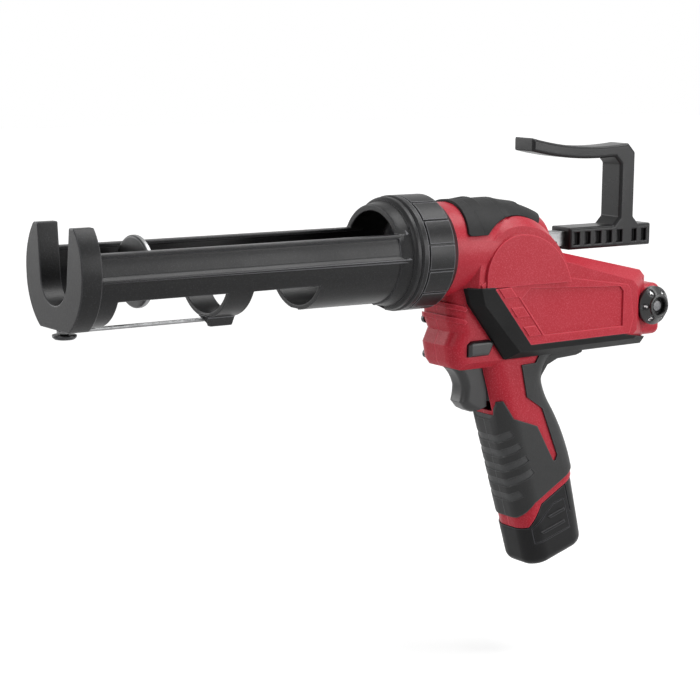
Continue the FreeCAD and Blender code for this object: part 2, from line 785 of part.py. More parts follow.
def make_guides():
    """Two bushes with a rectangular way for the rack: a disc in the nose and a block at the tail."""
    front = new_body("rack_guide_front")
    rim = draw(front, "rim", "YZ_Plane", [], case_front, circles=[(0, 0, nose_bore)])
    pad(front, "disc", rim, guide_length)
    rear = new_body("rack_guide_rear")
    section = draw(rear, "outline", "YZ_Plane", [
        box_corners(-tail_guide_half, -tail_guide_low, tail_guide_half, tail_guide_top),
    ], case_waist - guide_length)
    pad(rear, "block", section, guide_length)
    for body in (front, rear):
        way = draw(body, "way_outline", "YZ_Plane", [box_corners(
            -rack_half_width - slide_gap, -rack_bottom - slide_gap,
            rack_half_width + slide_gap, rack_top + slide_gap,
        )])
        cut_through(body, "way", way)


def make_rack():
    """Steel bar with teeth along its lower edge."""
    body = new_body("drive_rack")
    front = piston_length - piston_front - piston_socket
    rear = hook_base_front + hook_socket_depth
    section = draw(body, "section", "YZ_Plane", [
        box_corners(-rack_half_width, -rack_bottom, rack_half_width, rack_top),
    ], front)
    pad(body, "bar", section, rear - front)
    depth = (tooth_reach + tooth_root) * rack_module
    low = -rack_bottom
    mouth = rack_pitch * (1 - tooth_share) / 2 + rack_module * tooth_reach * tooth_slope
    floor = mouth - depth * tooth_slope
    middle = gear_x - rack_pitch * rack_phase()
    outline = draw(body, "tooth_gap", "XZ_Plane", [[
        (middle - mouth, low),
        (middle - floor, low + depth),
        (middle + floor, low + depth),
        (middle + mouth, low),
    ]])
    gap_cut = body.newObject("PartDesign::Pocket", "gap_cut")
    gap_cut.Profile = outline
    gap_cut.Type = "ThroughAll"
    gap_cut.Midplane = True
    row = body.newObject("PartDesign::LinearPattern", "tooth_gaps")
    row.Originals = [gap_cut]
    row.Direction = (origin_feature(body, "X_Axis"), [""])
    row.setExpression("Length", ((rack_gaps - 1) * rack_pitch).formula)
    row.setExpression("Occurrences", rack_gaps.formula)
    body.Tip = row
    holes = draw(body, "pin_outlines", "XZ_Plane", [], circles=hook_pin_circles())
    cut_through(body, "pin_holes", holes)


def rack_phase():
    """Whole pitches from the pinion's centre forward to the rack's first gap."""
    return math.floor((gear_x.number + rack_teeth_front.number) / rack_pitch.number)


def make_piston():
    """Disc that pushes the cartridge's plunger, screwed to the rack's front end."""
    body = new_body("piston_disc")
    face = -piston_front
    back = piston_length - piston_front
    profile = draw(body, "profile", "XZ_Plane", [[
        (face, 0),
        (face, piston_radius - piston_rim / 3),
        (face + piston_rim / 3, piston_radius),
        (face + piston_rim, piston_radius),
        (face + piston_rim, piston_radius - piston_rim),
        (back - piston_rim, piston_hub_radius),
        (back, piston_hub_radius),
        (back, 0),
    ]])
    turn_about(body, "disc", profile, "X_Axis")
    socket = draw(body, "socket_outline", "YZ_Plane", [
        box_corners(-rack_half_width, -rack_bottom, rack_half_width, rack_top),
    ], back)
    pocket(body, "socket", socket, piston_socket)
    bore = draw(body, "screw_bore", "YZ_Plane", [], face, circles=[(0, 0, piston_screw_shank)])
    pocket(body, "screw_way", bore, piston_length, reverse=True)
    screw = new_body("piston_screw")
    head = draw(screw, "profile", "XZ_Plane", [[
        (face - piston_screw_head, 0),
        (face - piston_screw_head, piston_screw_radius - piston_screw_head / 2),
        (face - piston_screw_head / 2, piston_screw_radius),
        (face, piston_screw_radius),
        (face, piston_screw_shank),
        (back - piston_socket, piston_screw_shank),
        (back - piston_socket, 0),
    ]])
    turn_about(screw, "turned", head, "X_Axis")


def make_hook():
    """Moulded pull handle on the rack's rear end: base, post and a forward arm to hang the tool by."""
    body = new_body("hook_handle")
    arm_top = hook_arm_low + hook_arm_thick
    tip_low = hook_arm_low + hook_arm_rise
    outline = draw(body, "side_outline", "XZ_Plane", [[
        (hook_base_front, hook_base_top),
        (hook_base_front, -hook_base_bottom),
        (hook_base_rear, -hook_base_bottom),
        (hook_base_rear, hook_base_top),
        (hook_post_rear + hook_foot, hook_base_top),
        (hook_post_rear, hook_base_top + hook_foot),
        (hook_post_rear, arm_top - hook_corner),
        (hook_post_rear - hook_corner, arm_top),
        (hook_arm_tip, arm_top + hook_arm_rise, hook_arm_bow, False),
        (hook_arm_tip, tip_low),
        (hook_post_front - hook_foot, hook_arm_low, hook_arm_bow, True),
        (hook_post_front, hook_arm_low - hook_foot),
        (hook_post_front, hook_base_top + hook_foot),
        (hook_post_front - hook_foot, hook_base_top),
    ]])
    solid_bar = pad(body, "bar", outline, 2 * hook_half_width, midplane=True)
    doc.recompute()
    half = hook_half_width.number
    chamfer(body, "edges", solid_bar, lambda edge: on_side(edge, half), hook_bevel)
    window_low = hook_window_edge - hook_base_bottom
    window_high = hook_base_top - hook_window_edge
    first = hook_base_front + hook_window_first
    windows = []
    for number in range(int(hook_windows.number)):
        start = first + number * hook_window_pitch
        windows.append(box_corners(start, window_low, start + hook_window_width, window_high))
    rear_start = first + int(hook_windows.number) * hook_window_pitch + hook_window_last
    for number in range(2):
        start = rear_start + 2 * number * hook_window_last
        windows.append(box_corners(start, window_low, start + hook_window_last, window_high))
    for side, reverse in ((1, False), (-1, True)):
        sketch = draw(body, f"windows_{'left' if side > 0 else 'right'}", "XZ_Plane", windows,
                      side * hook_half_width)
        pocket(body, f"window_cuts_{'left' if side > 0 else 'right'}", sketch, hook_window_depth, reverse)
    way = draw(body, "rack_way", "YZ_Plane", [
        box_corners(-rack_half_width, -rack_bottom, rack_half_width, rack_top),
    ], hook_base_front)
    pocket(body, "rack_socket", way, hook_socket_depth, reverse=True)
    holes = draw(body, "pin_outlines", "XZ_Plane", [], -hook_half_width, circles=hook_pin_circles())
    pocket(body, "pin_holes", holes, hook_half_width + hook_pin_half() - hook_pin_cover, reverse=True)


def hook_pin_places():
    """Where the two cross pins sit along the rack's end."""
    return [hook_base_front + hook_socket_depth * share for share in (0.2, 0.8)]


def hook_pin_circles():
    return [(x, rack_top / 2, hook_pin_radius) for x in hook_pin_places()]


def hook_pin_half():
    """Half length of a pin, flush with the window floors."""
    return hook_half_width - hook_window_depth


def on_side(edge, half):
    """True for an edge that lies in one of the two side faces."""
    ends = [abs(abs(vertex.Point.y) - half) < 1e-6 for vertex in edge.Vertexes]
    same = len(edge.Vertexes) == 2 and edge.Vertexes[0].Point.y * edge.Vertexes[1].Point.y > 0
    return all(ends) and same


def at(x, y, z):
    return Vector(float(x), float(y), float(z))


def solid(label, shape):
    """A sub-part made of one free shape."""
    item = doc.addObject("Part::Feature", label)
    item.Shape = shape
    return register(item, label)


def closed_wire(points):
    return Part.makePolygon(points + points[:1])


def slab(outline, low_y, high_y):
    """A side outline of (x, z) corners, carried across the tool."""
    face = Part.Face(closed_wire([at(x, low_y, z) for x, z in outline]))
    return face.extrude(at(0, float(high_y) - float(low_y), 0))


def cross_cylinder(x, z, radius, low_y, high_y):
    """A cylinder whose axis runs across the tool."""
    return Part.makeCylinder(float(radius), float(high_y) - float(low_y), at(x, low_y, z), Vector(0, 1, 0))


def long_cylinder(z, radius, low_x, high_x):
    """A cylinder whose axis runs along the tool."""
    return Part.makeCylinder(float(radius), float(high_x) - float(low_x), at(low_x, 0, z), Vector(1, 0, 0))


def brick(low, high):
    span = [float(b) - float(a) for a, b in zip(low, high)]
    return Part.makeBox(span[0], span[1], span[2], at(*low))


def grip_at(along, across, y):
    """A point in the handle's own frame: down its axis, rearward across it, and sideways."""
    tilt = math.radians(handle_tilt.number)
    along, across = float(along), float(across)
    x = handle_x.number + along * math.sin(tilt) + across * math.cos(tilt)
    z = handle_z.number - along * math.cos(tilt) + across * math.sin(tilt)
    return at(x, y, z)


def rounded_wire(spot, low_u, high_u, low_v, high_v, radius):
    """A rounded rectangle; spot turns (u, v) into a point."""
    low_u, high_u, low_v, high_v, radius = map(float, (low_u, high_u, low_v, high_v, radius))
    inset = radius * (1 - math.sqrt(0.5))
    corners = [(high_u, high_v, -1, -1), (low_u, high_v, 1, -1), (low_u, low_v, 1, 1), (high_u, low_v, -1, 1)]
    arcs = []
    for number, (u, v, du, dv) in enumerate(corners):
        on_u = spot(u + du * radius, v)
        on_v = spot(u, v + dv * radius)
        middle = spot(u + du * inset, v + dv * inset)
        arcs.append((on_v, middle, on_u) if number % 2 == 0 else (on_u, middle, on_v))
    edges = []
    for number, (first, middle, last) in enumerate(arcs):
        edges.append(Part.Arc(first, middle, last).toShape())
        edges.append(Part.LineSegment(last, arcs[(number + 1) % 4][0]).toShape())
    return Part.Wire(edges)


def grip_wire(along, front, back, half, corner):
    return rounded_wire(lambda u, v: grip_at(along, u, v), -float(front), back, -float(half), half, corner)


def grip_arc(centre, radius, first, last, y):
    """An arc in the handle's side view, between two angles in degrees about a centre."""
    points = []
    for angle in (first, (first + last) / 2, last):
        turn = math.radians(angle)
        points.append(grip_at(centre[0] + radius * math.cos(turn), centre[1] + radius * math.sin(turn), y))
    return Part.Arc(*points).toShape()


def handle_shape(inset):
    """The handle from inside the body down to its foot, drawn in by an inset all round.

    Its back is one run of tangent arcs: the web, the waist, the swell and the fall to the foot.
    """
    inset = float(inset)
    half = grip_half_width.number - inset
    front = grip_front.number - inset
    waist = (grip_waist_at.number, grip_waist_back.number)
    swell = (grip_swell_at.number, grip_swell_back.number)
    foot = (grip_foot_at.number + 1, grip_foot_back.number)
    rise = swell[1] - waist[1]
    reach = ((swell[0] - waist[0]) ** 2 + rise ** 2) / (2 * rise)
    hollow_radius = reach * grip_waist_share.number
    swell_radius = reach - hollow_radius
    fall = swell[1] - foot[1]
    fall_radius = ((foot[0] - swell[0]) ** 2 + fall ** 2) / (2 * fall)
    web_centre = (waist[0], waist[1] + grip_web_radius.number)
    hollow_centre = (waist[0], waist[1] + hollow_radius)
    swell_centre = (swell[0], swell[1] - swell_radius)
    fall_centre = (swell[0], swell[1] - fall_radius)
    lean = math.degrees(math.atan2(swell_centre[0] - hollow_centre[0], hollow_centre[1] - swell_centre[1]))
    fall_lean = math.degrees(math.asin((foot[0] - swell[0]) / fall_radius))
    arcs = [
        grip_arc(web_centre, grip_web_radius.number + inset, 180, 270, -half),
        grip_arc(hollow_centre, hollow_radius + inset, 270, 270 + lean, -half),
        grip_arc(swell_centre, swell_radius - inset, 90 + lean, 90, -half),
        grip_arc(fall_centre, fall_radius - inset, 90, 90 - fall_lean, -half),
    ]
    root_at = -grip_root.number
    corners = [
        arcs[-1].Vertexes[-1].Point,
        grip_at(foot[0], -front, -half),
        grip_at(root_at, -front, -half),
        grip_at(root_at, grip_root_back.number, -half),
        grip_at(web_centre[0] - grip_web_radius.number - inset, grip_root_back.number, -half),
        arcs[0].Vertexes[0].Point,
    ]
    lines = [Part.LineSegment(a, b).toShape() for a, b in zip(corners, corners[1:])]
    shape = Part.Face(Part.Wire(arcs + lines)).extrude(at(0, 2 * half, 0))
    ends = (lines[0], lines[2], lines[3])

    def long_edge(edge):
        middle = edge.CenterOfMass
        if abs(abs(middle.y) - half) > 1e-6:
            return False
        flat = at(middle.x, -half, middle.z)
        return all(flat.distanceToPoint(line.CenterOfMass) > 1e-3 for line in ends)

    return rounded(shape, grip_corner.number - inset, long_edge)


def barrel_case(grow):
    """Round case over the rack, behind the collar, domed toward its tail."""
    grow = float(grow)
    outer = case_radius.number + grow
    waist = case_waist_radius.number + grow
    tail = case_tail_radius.number + grow
    front, shoulder = case_front.number, case_shoulder.number
    waist_x, tail_x = case_waist.number, case_tail.number + min(grow, 0)
    bend_x = (shoulder + waist_x) / 2
    bend = waist + (outer - waist) * case_bulge.number
    dome_x = waist_x + (tail_x - waist_x) * case_bulge.number
    dome = tail + (waist - tail) * case_bulge.number
    edges = [
        Part.LineSegment(at(front, 0, 0), at(front, 0, outer)).toShape(),
        Part.LineSegment(at(front, 0, outer), at(shoulder, 0, outer)).toShape(),
        Part.Arc(at(shoulder, 0, outer), at(bend_x, 0, bend), at(waist_x, 0, waist)).toShape(),
        Part.Arc(at(waist_x, 0, waist), at(dome_x, 0, dome), at(tail_x, 0, tail)).toShape(),
        Part.LineSegment(at(tail_x, 0, tail), at(tail_x, 0, 0)).toShape(),
        Part.LineSegment(at(tail_x, 0, 0), at(front, 0, 0)).toShape(),
    ]
    return Part.Face(Part.Wire(edges)).revolve(Vector(0, 0, 0), Vector(1, 0, 0), 360)


def drum_wire(grow, y):
    """Side outline of the upper bulge: a small round at its front, a long one down to the motor box.

    It grows to the front and upward only, and keeps its rear end."""
    grow = float(grow)
    left = drum_left_radius.number + grow
    reach = drum_reach.number
    centre_x, centre_z = gear_x.number, gear_room_z.number
    low = centre_z - drum_ring.number
    rise = left + drum_ring.number
    right = (reach ** 2 + rise ** 2) / (2 * rise)
    right_z = centre_z + left - right
    turn = math.radians(45)
    half_turn = (math.pi / 2 + math.asin((low - right_z) / right)) / 2
    top = at(centre_x, y, centre_z + left)
    begin = at(centre_x - left, y, centre_z)
    low_begin = at(centre_x - left, y, low)
    end = at(centre_x + reach, y, low)
    front_mid = at(centre_x - left * math.cos(turn), y, centre_z + left * math.sin(turn))
    rear_mid = at(centre_x + right * math.cos(half_turn), y, right_z + right * math.sin(half_turn))
    return Part.Wire([
        Part.LineSegment(low_begin, begin).toShape(),
        Part.Arc(begin, front_mid, top).toShape(),
        Part.Arc(top, rear_mid, end).toShape(),
        Part.LineSegment(end, low_begin).toShape(),
    ])


def drum(grow, half):
    """The bulge's outline carried across the tool."""
    return Part.Face(drum_wire(grow, -float(half))).extrude(at(0, 2 * float(half), 0))


def drum_flare_body():
    """Sloping skirt that carries each side of the bulge down to the barrel case."""
    face_y = drum_half.number - drum_ring_drop.number
    root_y = face_y - drum_flare_depth.number
    wide = drum_ring + drum_flare
    skirt = drum(wide, root_y)
    for side in (-1, 1):
        wires = [drum_wire(wide, side * root_y), drum_wire(drum_ring, side * face_y)]
        skirt = skirt.fuse(Part.makeLoft(wires, True, True))
    return skirt.removeSplitter()


def flank_half(x):
    """Half width of the body's flat flank, which narrows toward the rear."""
    share = (float(x) - flank_front.number) / (flank_rear.number - flank_front.number)
    return flank_half_front.number + (flank_half_rear.number - flank_half_front.number) * share


def flank_outline(bevel, grow):
    """Side outline of the motor body: a diagonal front edge, level bottom and a falling top."""
    move = float(bevel)
    grow = float(grow)
    back_off = move * flank_rear_bevel.number / flank_bevel.number
    front, rear = flank_front.number - grow, flank_rear.number + grow
    bottom = flank_bottom.number + grow
    top_rear, top_front = flank_top_rear.number - grow, flank_top_front.number - grow
    heel_x = front + flank_heel.number
    brow_x = front + flank_brow_set.number
    corner = flank_corner.number
    return [
        (front + move, -flank_shoulder.number),
        (brow_x + move, -flank_brow.number),
        (heel_x + move, move - bottom),
        (rear - corner - back_off, move - bottom),
        (rear - back_off, corner + move - bottom),
        (rear - back_off, -top_rear - corner - move),
        (rear - corner - back_off, -top_rear - move),
        (drum_rear.number, -top_front - move),
        (gear_x.number - drum_left_radius.number / 2 + move, -top_front - move),
    ]


def flank_body(grow):
    """Motor body with bevelled flanks on both sides."""
    grow = float(grow)
    wires = []
    for side, outer in ((-1, True), (-1, False), (1, False), (1, True)):
        bevel = flank_bevel.number if outer else 0
        depth = 0 if outer else flank_bevel_depth.number
        points = []
        for x, z in flank_outline(bevel, grow):
            points.append(at(x, side * (flank_half(x) + grow - depth), z))
        wires.append(closed_wire(points))
    return Part.makeLoft(wires, True, True)


def rounded(shape, radius, test):
    """Round the edges that pass a test."""
    return shape.makeFillet(float(radius), [edge for edge in shape.Edges if test(edge)]).Solids[0]


def upright(edge):
    """True for a straight edge that isn't parallel to the tool's cross axis and stands upright."""
    if len(edge.Vertexes) < 2:
        return False
    run = edge.Vertexes[1].Point.sub(edge.Vertexes[0].Point)
    return abs(run.y) < 1e-6 and abs(run.z) > 0.5 * abs(run.x)


def nose_body(grow):
    """Front of the body below the collar, down to the guard over the trigger."""
    grow = float(grow)
    front = nose_front.number - grow
    half = nose_half.number + grow
    top, low = -flank_shoulder.number, -guard_bottom.number
    lip = (top - low) / 10
    outline = [
        (front + 0.2 * lip, top), (front + 0.25 * lip, top - 3.2 * lip),
        (front + 0.35 * lip, top - 4.6 * lip), (front + 0.8 * lip, top - 5.6 * lip),
        (front + 0.1 * lip, top - 7.1 * lip),
        (front + 0.5 * lip, low + 0.9 * lip), (front + lip, low + 0.25 * lip), (front + 1.9 * lip, low),
        (guard_rear.number, low), (guard_rear.number, top),
    ]
    shape = slab(outline, -half, half)
    shape = rounded(shape, nose_round, lambda edge: upright(edge) and edge.CenterOfMass.x < front + 1.4 * lip)
    reach = guard_bevel.number + 1
    for side in (-1, 1):
        corners = [(half + 1, low + reach), (half + 1, low - 1), (half - reach, low - 1)]
        wedge = Part.Face(closed_wire([at(0, side * y, z) for y, z in corners]))
        shape = shape.cut(wedge.extrude(at(guard_rear + 1, 0, 0)))
    return shape


def nose_rib_set():
    """Slanted ribs that wrap round the nose below the collar."""
    grown = nose_body(nose_rib_raise)
    start = nose_front.number - nose_half.number
    rear = nose_rib_rear.number
    thick = nose_rib_thick.number
    drop = nose_rib_drop.number
    ribs = []
    for number in range(int(nose_ribs.number)):
        low = -nose_rib_first.number - number * nose_rib_pitch.number
        rise = drop * (rear - start) / (rear - nose_front.number)
        ribs.append(grown.common(slab([
            (start, low + rise), (rear - thick / 2, low), (rear, low + thick / 2),
            (rear - thick / 2, low + thick), (start, low + rise + thick),
        ], -BEYOND, BEYOND)))
    return ribs


def rear_cap():
    """Blunt end behind the motor."""
    shape = brick((flank_rear - 2 * cap_round, -cap_half, -cap_bottom), (cap_rear, cap_half, -cap_top))
    return rounded(shape, cap_round, lambda edge: edge.CenterOfMass.x > flank_rear.number - cap_round.number)


def web_body(grow):
    """Thin web that blends the back of the handle into the underside of the motor body."""
    grow = float(grow)
    top = -flank_bottom.number + shell_wall.number
    drop = -flank_bottom.number - web_drop.number - grow
    rear = web_rear.number + grow
    reach = rear - handle_x.number
    outline = [
        (handle_x.number, top), (rear, top), (rear - 0.04 * reach, drop + 0.5 * web_drop.number),
        (rear - 0.13 * reach, drop + 0.2 * web_drop.number), (rear - 0.42 * reach, drop),
        (rear - 0.57 * reach, drop - 0.06 * reach), (rear - 0.66 * reach, drop - 0.18 * reach),
        (rear - 0.7 * reach, drop - 0.37 * reach), (handle_x.number, drop - 0.37 * reach),
    ]
    return slab(outline, -web_half - grow, web_half + grow)


def outer_body():
    """The closed outer form of both housing halves."""
    body = barrel_case(0)
    pieces = [drum_flare_body(), drum(0, drum_half), flank_body(0), nose_body(0), rear_cap(), handle_shape(0),
              web_body(0)]
    for piece in pieces + nose_rib_set():
        body = body.fuse(piece)
    return body.removeSplitter()


def foot_line(lift):
    """Lower edge of the handle shells, in the handle's frame: level in front, then rising to the back."""
    front, knee, back = [float(along + lift) for along in (grip_foot_at, foot_knee_at, foot_back_at)]
    knee_edge = -foot_knee_edge.number
    run = grip_swell_back.number - knee_edge
    end = back + (BEYOND - grip_swell_back.number) * (back - knee) / run
    return [
        (front, -BEYOND), (front, -foot_front_edge.number), (knee, knee_edge), (back, grip_swell_back.number),
        (end, BEYOND),
    ]


def grip_slab(outline, low_y, high_y):
    """An outline of (along, across) corners in the handle's frame, carried across the tool."""
    face = Part.Face(closed_wire([grip_at(along, across, low_y) for along, across in outline]))
    return face.extrude(at(0, float(high_y) - float(low_y), 0))


def below_foot(lift):
    """Everything below the handle's lower edge."""
    return grip_slab(foot_line(lift) + [(FAR_BEYOND, BEYOND), (FAR_BEYOND, -BEYOND)], -BEYOND, BEYOND)


def rooms():
    """Hollows inside the closed housing for the gears, motor, switch and battery."""
    wall = shell_wall
    gear_room = cross_cylinder(gear_x, gear_room_z, gear_room_radius, -gear_room_half, gear_room_half)
    lobe = cross_cylinder(gear_x, motor_z, plate_lobe_radius, -right_plate_y - bearing_width,
                          right_plate_y + bearing_width)
    spur_end = spur_inner_y + spur_face + gap
    spur = cross_cylinder(gear_x, motor_z, idler_radius + 2 * spur_module, -spur_end, spur_end)
    bevel_room = cross_cylinder(gear_x, motor_z, bevel_gear_radius + 2 * bevel_module, -right_plate_y,
                                right_plate_y)
    barrel_room = long_cylinder(0, nose_tail_radius - wall, case_front + wall, case_shoulder)
    nose_way = long_cylinder(0, nose_radius, case_front - 1, case_front + wall + 1)
    seat_front = case_front + wall
    nose_seat = long_cylinder(0, nose_tail_radius, seat_front, seat_front + nose_tail_length + gap)
    tail_seat = brick((gear_x, -tail_guide_half, -tail_guide_low),
                      (case_waist, tail_guide_half, tail_guide_top))
    rack_way = brick((case_waist - 1, -rack_half_width - 1, -rack_bottom - 1),
                     (case_tail + BEYOND, rack_half_width + 1, rack_top + 1))
    handle_room = handle_shape(wall).cut(grip_slab([
        (-BEYOND, -BEYOND), (-BEYOND, BEYOND), (-handle_roof, BEYOND), (-handle_roof, -BEYOND),
    ], -BEYOND, BEYOND))
    wire_start = grip_at(-wire_way_length / 2, wire_way_across, 0)
    down = grip_at(1, 0, 0).sub(grip_at(0, 0, 0))
    wire_way = Part.makeCylinder(wire_way_radius.number, wire_way_length.number, wire_start, down)
    trigger_way = brick((0, -trigger_half - gap, trigger_bottom - gap),
                        (switch_front, trigger_half + gap, trigger_top + gap / 2))
    hollow = gear_room
    for room in (lobe, spur, bevel_room, barrel_room, nose_way, nose_seat, tail_seat, rack_way, motor_rooms(),
                 handle_room, wire_way, trigger_way):
        hollow = hollow.fuse(room)
    return hollow


def motor_rooms():
    """Ribbed room round the gearbox and motor, their round seats and the hollow of the rear cap."""
    wall = shell_wall
    low = -flank_bottom + wall + 1
    high = -flank_top_front - motor_room_drop
    rear = flank_rear - motor_room_end
    half = flank_half_rear - 2 * wall
    room = slab([
        (gear_x, low), (rear, low), (rear, -flank_top_rear - 2 * wall), (gear_x + gear_room_radius, high),
        (gear_x, high),
    ], -half, half)
    for x in (gearbox_front + wall, gearbox_rear + 2 * wall, motor_rear - 4 * wall):
        room = room.cut(brick((x, -half, -flank_bottom), (x + wall, half, 0)))
    seats = (
        (gearbox_radius + bore_gap, gearbox_front - 1, gearbox_rear),
        (motor_radius + bore_gap, gearbox_rear - 1, motor_rear + 1),
        (motor_cap_radius + gap, motor_rear - 1, motor_rear + motor_cap_length + gap),
    )
    for radius, start, end in seats:
        room = room.fuse(long_cylinder(motor_z, radius, start, end))
    return room.fuse(brick((flank_rear - 2 * cap_round, wall - cap_half, wall - cap_bottom),
                           (cap_rear - wall, cap_half - wall, -cap_top - wall)))


def lock_way():
    """Cross slot for the lock slider's stem and shallow recesses for its caps."""
    return brick((lock_x - lock_half_length * 0.8 - gap, -30, lock_z - lock_half_height * 0.6 - gap),
                 (lock_x + gap, 30, lock_z + lock_half_height * 0.6 + gap))


def diagonal_x(z, start):
    """Where a line parallel to the body's diagonal front edge, from a start at the brow, reaches a height."""
    run = flank_heel.number - flank_brow_set.number
    return start + (-flank_brow.number - float(z)) * run / (flank_bottom.number - flank_brow.number)


def louvre_bounds(z):
    """Front and rear of the louvred strip between bumper and panel at a height."""
    return diagonal_x(z, bumper_edge.number), diagonal_x(z, panel_edge.number)


def panel_frame():
    """Outline of the raised frame on the flank, and of the bare panel sunk inside it."""
    frame_top = -flank_shoulder.number
    sill = -panel_sill.number
    rear = frame_rear.number
    bar = frame_bar.number
    fall = (flank_top_rear - flank_top_front).number / 2
    outer = [
        (diagonal_x(frame_top, bumper_edge.number), frame_top - bar / 2), (drum_rear, frame_top),
        (rear - bar, frame_top - fall), (rear - bar / 2, frame_top - fall - bar / 2), (rear, sill + bar),
        (rear - bar / 2, sill - bar / 2), (diagonal_x(sill, bumper_edge.number), sill - bar / 2),
    ]
    inner_rear = rear - 1.5 * bar
    inner_top = frame_top - bar * 0.7
    inner = [
        (diagonal_x(inner_top, panel_edge.number) + 2 * bar, inner_top),
        (inner_rear - bar / 2, inner_top - fall * 0.55), (inner_rear, inner_top - fall * 0.55 - bar / 2),
        (inner_rear, sill + bar / 3), (diagonal_x(sill + bar / 3, panel_edge.number), sill + bar / 3),
        (diagonal_x(inner_top - bar, panel_edge.number), inner_top - bar),
    ]
    return outer, inner


def louvre_set():
    """Raised bars between the bumper and the panel, and the rib along the panel's diagonal edge."""
    top = -louvre_top.number
    pitch = louvre_pitch.number
    grown = flank_body(frame_raise + louvre_raise)
    pieces = []
    for number in range(int(louvre_bars.number)):
        high = top - 2 * number * pitch
        low = high - pitch
        front_high, rear_high = louvre_bounds(high)
        front_low, rear_low = louvre_bounds(low)
        edge = 2 * panel_rib_width.number
        pieces.append(grown.common(slab([
            (front_low, low), (rear_low - edge, low), (rear_high - edge, high), (front_high, high),
        ], -BEYOND, BEYOND)))
    ridge = flank_body(frame_raise + panel_rib_raise)
    low = top - (2 * louvre_bars.number - 1) * pitch
    width = panel_rib_width.number
    rear_high, rear_low = louvre_bounds(top - pitch)[1], louvre_bounds(low)[1]
    pieces.append(ridge.common(slab([
        (rear_low - width, low), (rear_low, low), (rear_high, top - pitch), (rear_high - width, top - pitch),
    ], -BEYOND, BEYOND)))
    return pieces


SCREW_PLACES = [
    (43, -46),
    (44.5, -69),
    (103, -62.5),
    (flank_rear.number - 9, -62.5),
    (flank_rear.number - 5.5, -33),
]


def make_shells():
    """Left and right housing halves with their moulded-on covers."""
    body = outer_body()
    grown = flank_body(frame_raise)
    outer, inner = panel_frame()
    frame = grown.common(slab(outer, -BEYOND, BEYOND)).cut(slab(inner, -BEYOND, BEYOND))
    for piece in [frame] + louvre_set():
        body = body.fuse(piece)
    for side in (-1, 1):
        near, far = sorted((side * flank_recess_half.number, side * BEYOND))
        body = body.cut(slab(lock_outline(gap), near, far))
    dial_seat = cross_cylinder(dial_x, dial_z, dial_radius - 1, gap - dial_base_y, shell_wall - cap_half)
    body = body.fuse(dial_seat).cut(below_foot(0))
    hollow = rooms()
    for x, z in SCREW_PLACES:
        hollow = hollow.cut(cross_cylinder(x, z, boss_radius, -BEYOND, BEYOND))
    hollow = hollow.fuse(lock_way())
    hollow = hollow.fuse(cross_cylinder(dial_x, dial_z, dial_radius + gap, -BEYOND, gap - dial_base_y))
    hollow = hollow.fuse(cross_cylinder(dial_x, dial_z, plunger_radius + bore_gap, -BEYOND,
                                        2 * shell_wall - cap_half))
    for x, z in SCREW_PLACES:
        hollow = hollow.fuse(cross_cylinder(x, z, screw_radius + bore_gap, -flank_recess_half / 2, BEYOND))
        hollow = hollow.fuse(cross_cylinder(x, z, screw_head_radius + gap, flank_recess_half, BEYOND))
    shell = body.cut(hollow)
    halves("housing", shell)
    return body


def halves(label, shape):
    """Split a moulding at the tool's middle plane, one piece for each side."""
    for side, low, high in (("left", -BEYOND, 0), ("right", 0, BEYOND)):
        piece = shape.common(brick((0, low, -FAR_BEYOND), (FAR_BEYOND, high, FAR_BEYOND)))
        solid(f"{label}_{side}", Part.makeCompound(piece.Solids))


# Edge of the grip's soft cover in the handle's frame: corners down the handle and rearward across it
GRIP_EDGE = [
    (28.2, -BEYOND), (28.2, -26.9), (22.2, -25.6), (15.3, -23.7), (15.5, -20.9), (29.3, -17.1), (41.4, -0.3),
    (69.4, 6.4), (70, 8.4), (67, 10.8), (31.8, 7), (19.6, -3.2), (-2.5, -1.7), (0.4, 9.5), (-5.5, 16),
    (-30, 90), (74, BEYOND), (82.4, 20.5), (90.6, -15), (98.7, -26.2), (99.5, -BEYOND),
]

# How far each finger band of the grip reaches round the side, across the handle from its axis to the front
BAND_ENDS = [20.6, 17.4, 14.6, 12.4, 22.9]


def grip_girth(across):
    """Way round the handle from its front middle to a place across it, up to the start of the flat side."""
    centre = grip_front.number - grip_corner.number
    share = min(max((-float(across) - centre) / grip_corner.number, 0), 1)
    return grip_half_width.number - grip_corner.number + grip_corner.number * math.acos(share)


def finger_band(front, end):
    """Outline of a finger band that climbs evenly from the handle's front round to its slanted end."""
    reach = grip_front.number - float(end)
    places = [-grip_front.number + reach * (number / 8) ** 1.5 for number in range(9)]
    climb = grip_band_rise.number
    width = grip_band_width.number
    upper = [(float(front) - climb * grip_girth(across), across) for across in places]
    lower = [(along + width, across) for along, across in upper[:-1]]
    tip = (upper[-1][0] + width * 0.8, upper[-1][1] + width * 0.35)
    return [(float(front), -BEYOND)] + upper + [tip] + lower[::-1] + [(float(front) + width, -BEYOND)]


